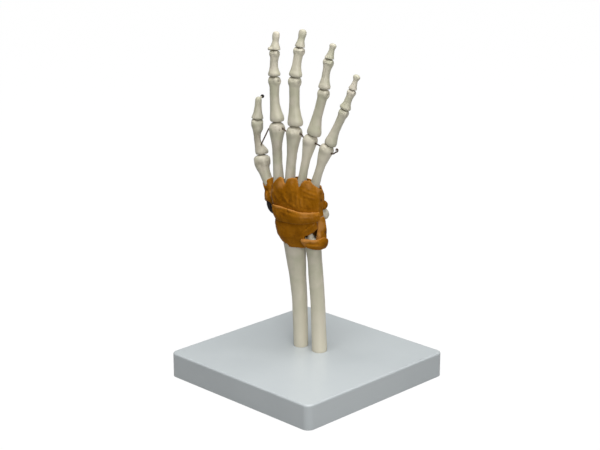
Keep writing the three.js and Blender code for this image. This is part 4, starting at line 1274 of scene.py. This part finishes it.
def make_screw(node):
    place = middle_of(node)
    face = SEAT - HEAD_HEIGHT
    screw = cylinder(HEAD_RADIUS, face, SEAT, place)
    screw.name = node.replace("_base", "") + "_steel"
    bpy.context.tool_settings.mesh_select_mode = (False, True, False)
    rim = (face + HAIR) * MM
    select_edges(screw, lambda a, b: a.z < rim and b.z < rim)
    edit(screw, lambda: bpy.ops.mesh.bevel(offset=HEAD_ROUND * MM, segments=5, affect="EDGES"))
    shank = cylinder(SHANK_RADIUS, SEAT - SHANK_ROOT, BASE_HEIGHT + SHANK_REACH, place)
    cut_or_join(screw, shank, "UNION")
    for turn in CROSS_TURNS:
        slot = bar(place, CROSS_LENGTH, CROSS_WIDTH, face - CROSS_PAST, face + CROSS_DEPTH, turn)
        cut_or_join(screw, slot, "DIFFERENCE")
    pick(screw)
    bpy.ops.object.shade_smooth_by_angle(angle=math.radians(40))
    return finish_piece(screw, STEEL, "hand", "steel", node)


screws = [make_screw(node) for node in screw_nodes]
print("screws:", [s.name for s in screws])

# %% [markdown]
# One browned wire runs through the heads of the four finger metacarpals, along the hinge axes that
# the joints give, and ends in a small curl past the little finger. A second wire ties the thumb to
# it. Both are drawn as a line of points with a round section, then made a mesh.

# %% Wires
WIRE_RADIUS = 0.65
HEAD_REACH = {"index": 8.0, "middle": 8.1, "ring": 7.5, "little": 7.5}
STRAIGHT_END = 2
CURL_START = (3.1, 0, 2.5)
CURL_RADIUS = 1.4
CURL_ANGLE = math.radians(288)
CURL_SIDE = 1.08
CURL_LEAN = 1.26
CURL_STEPS = 36
TIE_BOTTOM = hand_point(-58.3, 9.8, 187.0)
TIE_SINK = 0.2
TIE_GAP = 0.35
TIE_STEPS = 12
joint_named = {joint["name"]: joint for joint in frame["joints"]}


def knuckle(finger):
    joint = joint_named[finger + "_knuckle"]
    return Vector(joint["pos_m"]), -Vector(joint["axis"]).normalized()


def wire_through(points, name):
    line = bpy.data.curves.new(name, "CURVE")
    line.dimensions = "3D"
    line.bevel_depth = WIRE_RADIUS * MM
    line.bevel_resolution = 3
    line.use_fill_caps = True
    spline = line.splines.new("NURBS")
    spline.points.add(len(points) - 1)
    for place, point in zip(points, spline.points):
        point.co = (*place, 1)
    spline.use_endpoint_u = True
    spline.order_u = 3
    spline.resolution_u = 4
    wire = bpy.data.objects.new(name, line)
    bpy.context.scene.collection.objects.link(wire)
    pick(wire)
    bpy.ops.object.convert(target="MESH")
    bpy.ops.object.shade_smooth()
    return wire


thread = []
for finger, reach in HEAD_REACH.items():
    centre, side = knuckle(finger)
    for along in (-reach, STRAIGHT_END - reach, reach - STRAIGHT_END, reach):
        thread.append(centre + side * along * MM)
turn_hand = to_row.to_3x3()
curl_start = thread[-1] + turn_hand @ (Vector(CURL_START) * MM)
for step in range(CURL_STEPS + 1):
    share = step / CURL_STEPS
    angle = share * CURL_ANGLE
    out = math.sin(angle) * CURL_RADIUS + share * CURL_SIDE
    up = (1 - math.cos(angle)) * CURL_RADIUS
    thread.append(curl_start + turn_hand @ (Vector((out, share * CURL_LEAN, up)) * MM))
threaded = wire_through(thread, "threaded_wire_line")
finish_piece(threaded, WIRE, "hand", "wire", "threaded_wire")

tie_top = thread[0] - knuckle("index")[1] * (WIRE_RADIUS + TIE_GAP) * MM
_, touch, outward, _ = bones["thumb_proximal_phalanx"].closest_point_on_mesh(TIE_BOTTOM)
tie_foot = touch - outward * TIE_SINK * MM
tie_points = [tie_top.lerp(tie_foot, step / TIE_STEPS) for step in range(TIE_STEPS + 1)]
tie = wire_through(tie_points, "thumb_tie_line")
tie.data.materials.append(WIRE)
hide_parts("thumb_tie_wire")
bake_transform(tie)
print("wires:", len(threaded.data.vertices), len(tie.data.vertices))

# %% [markdown]
# Each finger joint hides a short steel wire, which shows only in the gap when a finger is bent. The
# slot that each swings in has lost a little to the rounding of its bone, so the wires are drawn
# slightly thinner too.

# %% Joint wires
joint_wires = [node for node in slot_of if node.endswith("_joint_wire")]
for node in joint_wires:
    shank = rounded_copy(node, node + "_line", grid=0.16, passes=3, swell=-0.24)
    finish_piece(shank, STEEL, body_of[node], "steel", node)
print("joint wires:", len(joint_wires))

# %% [markdown]
# Two small black pieces remain: a bead on a pale peg at the tip of the thumb, and a black pad laid
# into the dark crescent at the thumb side of the wrist. Both are rounded copies. The bead is the wider
# end of its piece, which tells the way out of the thumb. The peg behind it is marked, so that it stays
# pale, and its foot is drawn out into the bone, because the rounded fingertip ends short of it.

# %% Bead and pad
BEAD_RADIUS = 1.9
BEAD_SHARE = 1.75
END_SHARE = 0.6
PEG_END = 1.0
PEG_REACH = 2.4
bead = rounded_copy("thumb_tip_bead", "thumb_bead", grid=0.14, passes=16, swell=0.03)
points, _ = surface_of(bead)
middle = points.mean(axis=0)
out = np.linalg.svd(points - middle, full_matrices=False)[2][0]
along = (points - middle) @ out
far = END_SHARE * abs(along).max()
front_width, back_width = (np.ptp(points[along * side > far], axis=0).sum() for side in (1, -1))
if front_width < back_width:
    out = -out
    along = -along
stem = along < along.max() - BEAD_SHARE * BEAD_RADIUS * MM
write_mask(bead, "stem", stem)
inner = along < along.min() + PEG_END * MM
points[inner] -= out * PEG_REACH * MM
set_surface(bead, points)
print("bead points:", len(points), "of them on the peg:", int(stem.sum()))
finish_piece(bead, BLACK, "thumb_distal", "black", "thumb_tip_bead")
pad = rounded_copy("radial_wrist_pad", "wrist_pad", grid=0.35, passes=18, swell=0.1)
roughen(pad, size=2.6, height=0.25, name="pad_dimples")
finish_piece(pad, BLACK, "hand", "black", "radial_wrist_pad")
print("bead and pad faces:", len(bead.data.polygons), len(pad.data.polygons))

# %% [markdown]
# A photographer would stand the model on white paper. The floor here is grey paper that the camera
# sees as nearly white, so it lights the object no more than paper would and still takes a faint
# shadow. It is so large that its edge shows from no side.

# %% Floor
FLOOR_SIZE = 60
FLOOR_WHITE = 0.93
FLOOR_GLOW = 1.07
FLOOR_GREY = 0.26
bpy.ops.object.select_all(action="DESELECT")
bpy.ops.mesh.primitive_plane_add(size=FLOOR_SIZE)
floor = bpy.context.object
floor.name = "floor"
paper = bpy.data.materials.new("white_paper")
paper.use_nodes = True
tree = paper.node_tree
tree.nodes.clear()
diffuse = add(tree, "ShaderNodeBsdfDiffuse")
diffuse.inputs["Color"].default_value = (FLOOR_GREY, FLOOR_GREY, FLOOR_GREY, 1)
glow = add(tree, "ShaderNodeEmission")
glow.inputs["Color"].default_value = (1, 1, 1, 1)
glow.inputs["Strength"].default_value = FLOOR_GLOW
path = add(tree, "ShaderNodeLightPath")
seen = path.outputs["Is Camera Ray"]
for other in ("Is Glossy Ray", "Is Transmission Ray"):
    seen = calculate(tree, "MAXIMUM", seen, path.outputs[other])
blend = add(tree, "ShaderNodeMixShader")
tree.links.new(calculate(tree, "MULTIPLY", seen, FLOOR_WHITE), blend.inputs["Fac"])
tree.links.new(diffuse.outputs[0], blend.inputs[1])
tree.links.new(glow.outputs[0], blend.inputs[2])
end = add(tree, "ShaderNodeOutputMaterial")
tree.links.new(blend.outputs[0], end.inputs["Surface"])
floor.data.materials.append(paper)
print("floor:", floor.name)

# %% [markdown]
# One large soft lamp hangs overhead, a little towards the camera, and a weaker one stands in front at
# the right. Their powers are low enough that no pale bone turns white, and the world adds a faint
# light to the shadows.

# %% Lamps and world
WORLD_LIGHT = 0.07


def soft_lamp(name, place, aim, size, power):
    bpy.ops.object.select_all(action="DESELECT")
    bpy.ops.object.light_add(type="AREA", location=place)
    lamp = bpy.context.object
    lamp.name = name
    lamp.data.size = size
    lamp.data.energy = power
    lamp.rotation_mode = "QUATERNION"
    lamp.rotation_quaternion = (Vector(aim) - Vector(place)).to_track_quat("-Z", "Y")
    return lamp


soft_lamp("overhead", place=(0.12, -0.12, 1.5), aim=(0, 0, 0.1), size=1.2, power=25)
soft_lamp("front", place=(1.2, -0.82, 0.75), aim=(0, 0, 0.15), size=0.6, power=10.3)
world = bpy.data.worlds.new("studio")
bpy.context.scene.world = world
world.use_nodes = True
background = world.node_tree.nodes["Background"]
background.inputs["Color"].default_value = (1, 1, 1, 1)
background.inputs["Strength"].default_value = WORLD_LIGHT
print("lamps and world ready")

# %% [markdown]
# The finished pieces must stay inside the box that the CAD model fills, so that box is written down.

# %% The CAD box
print("CAD box", [tuple(round(x, 4) for x in c) for c in cad_box])
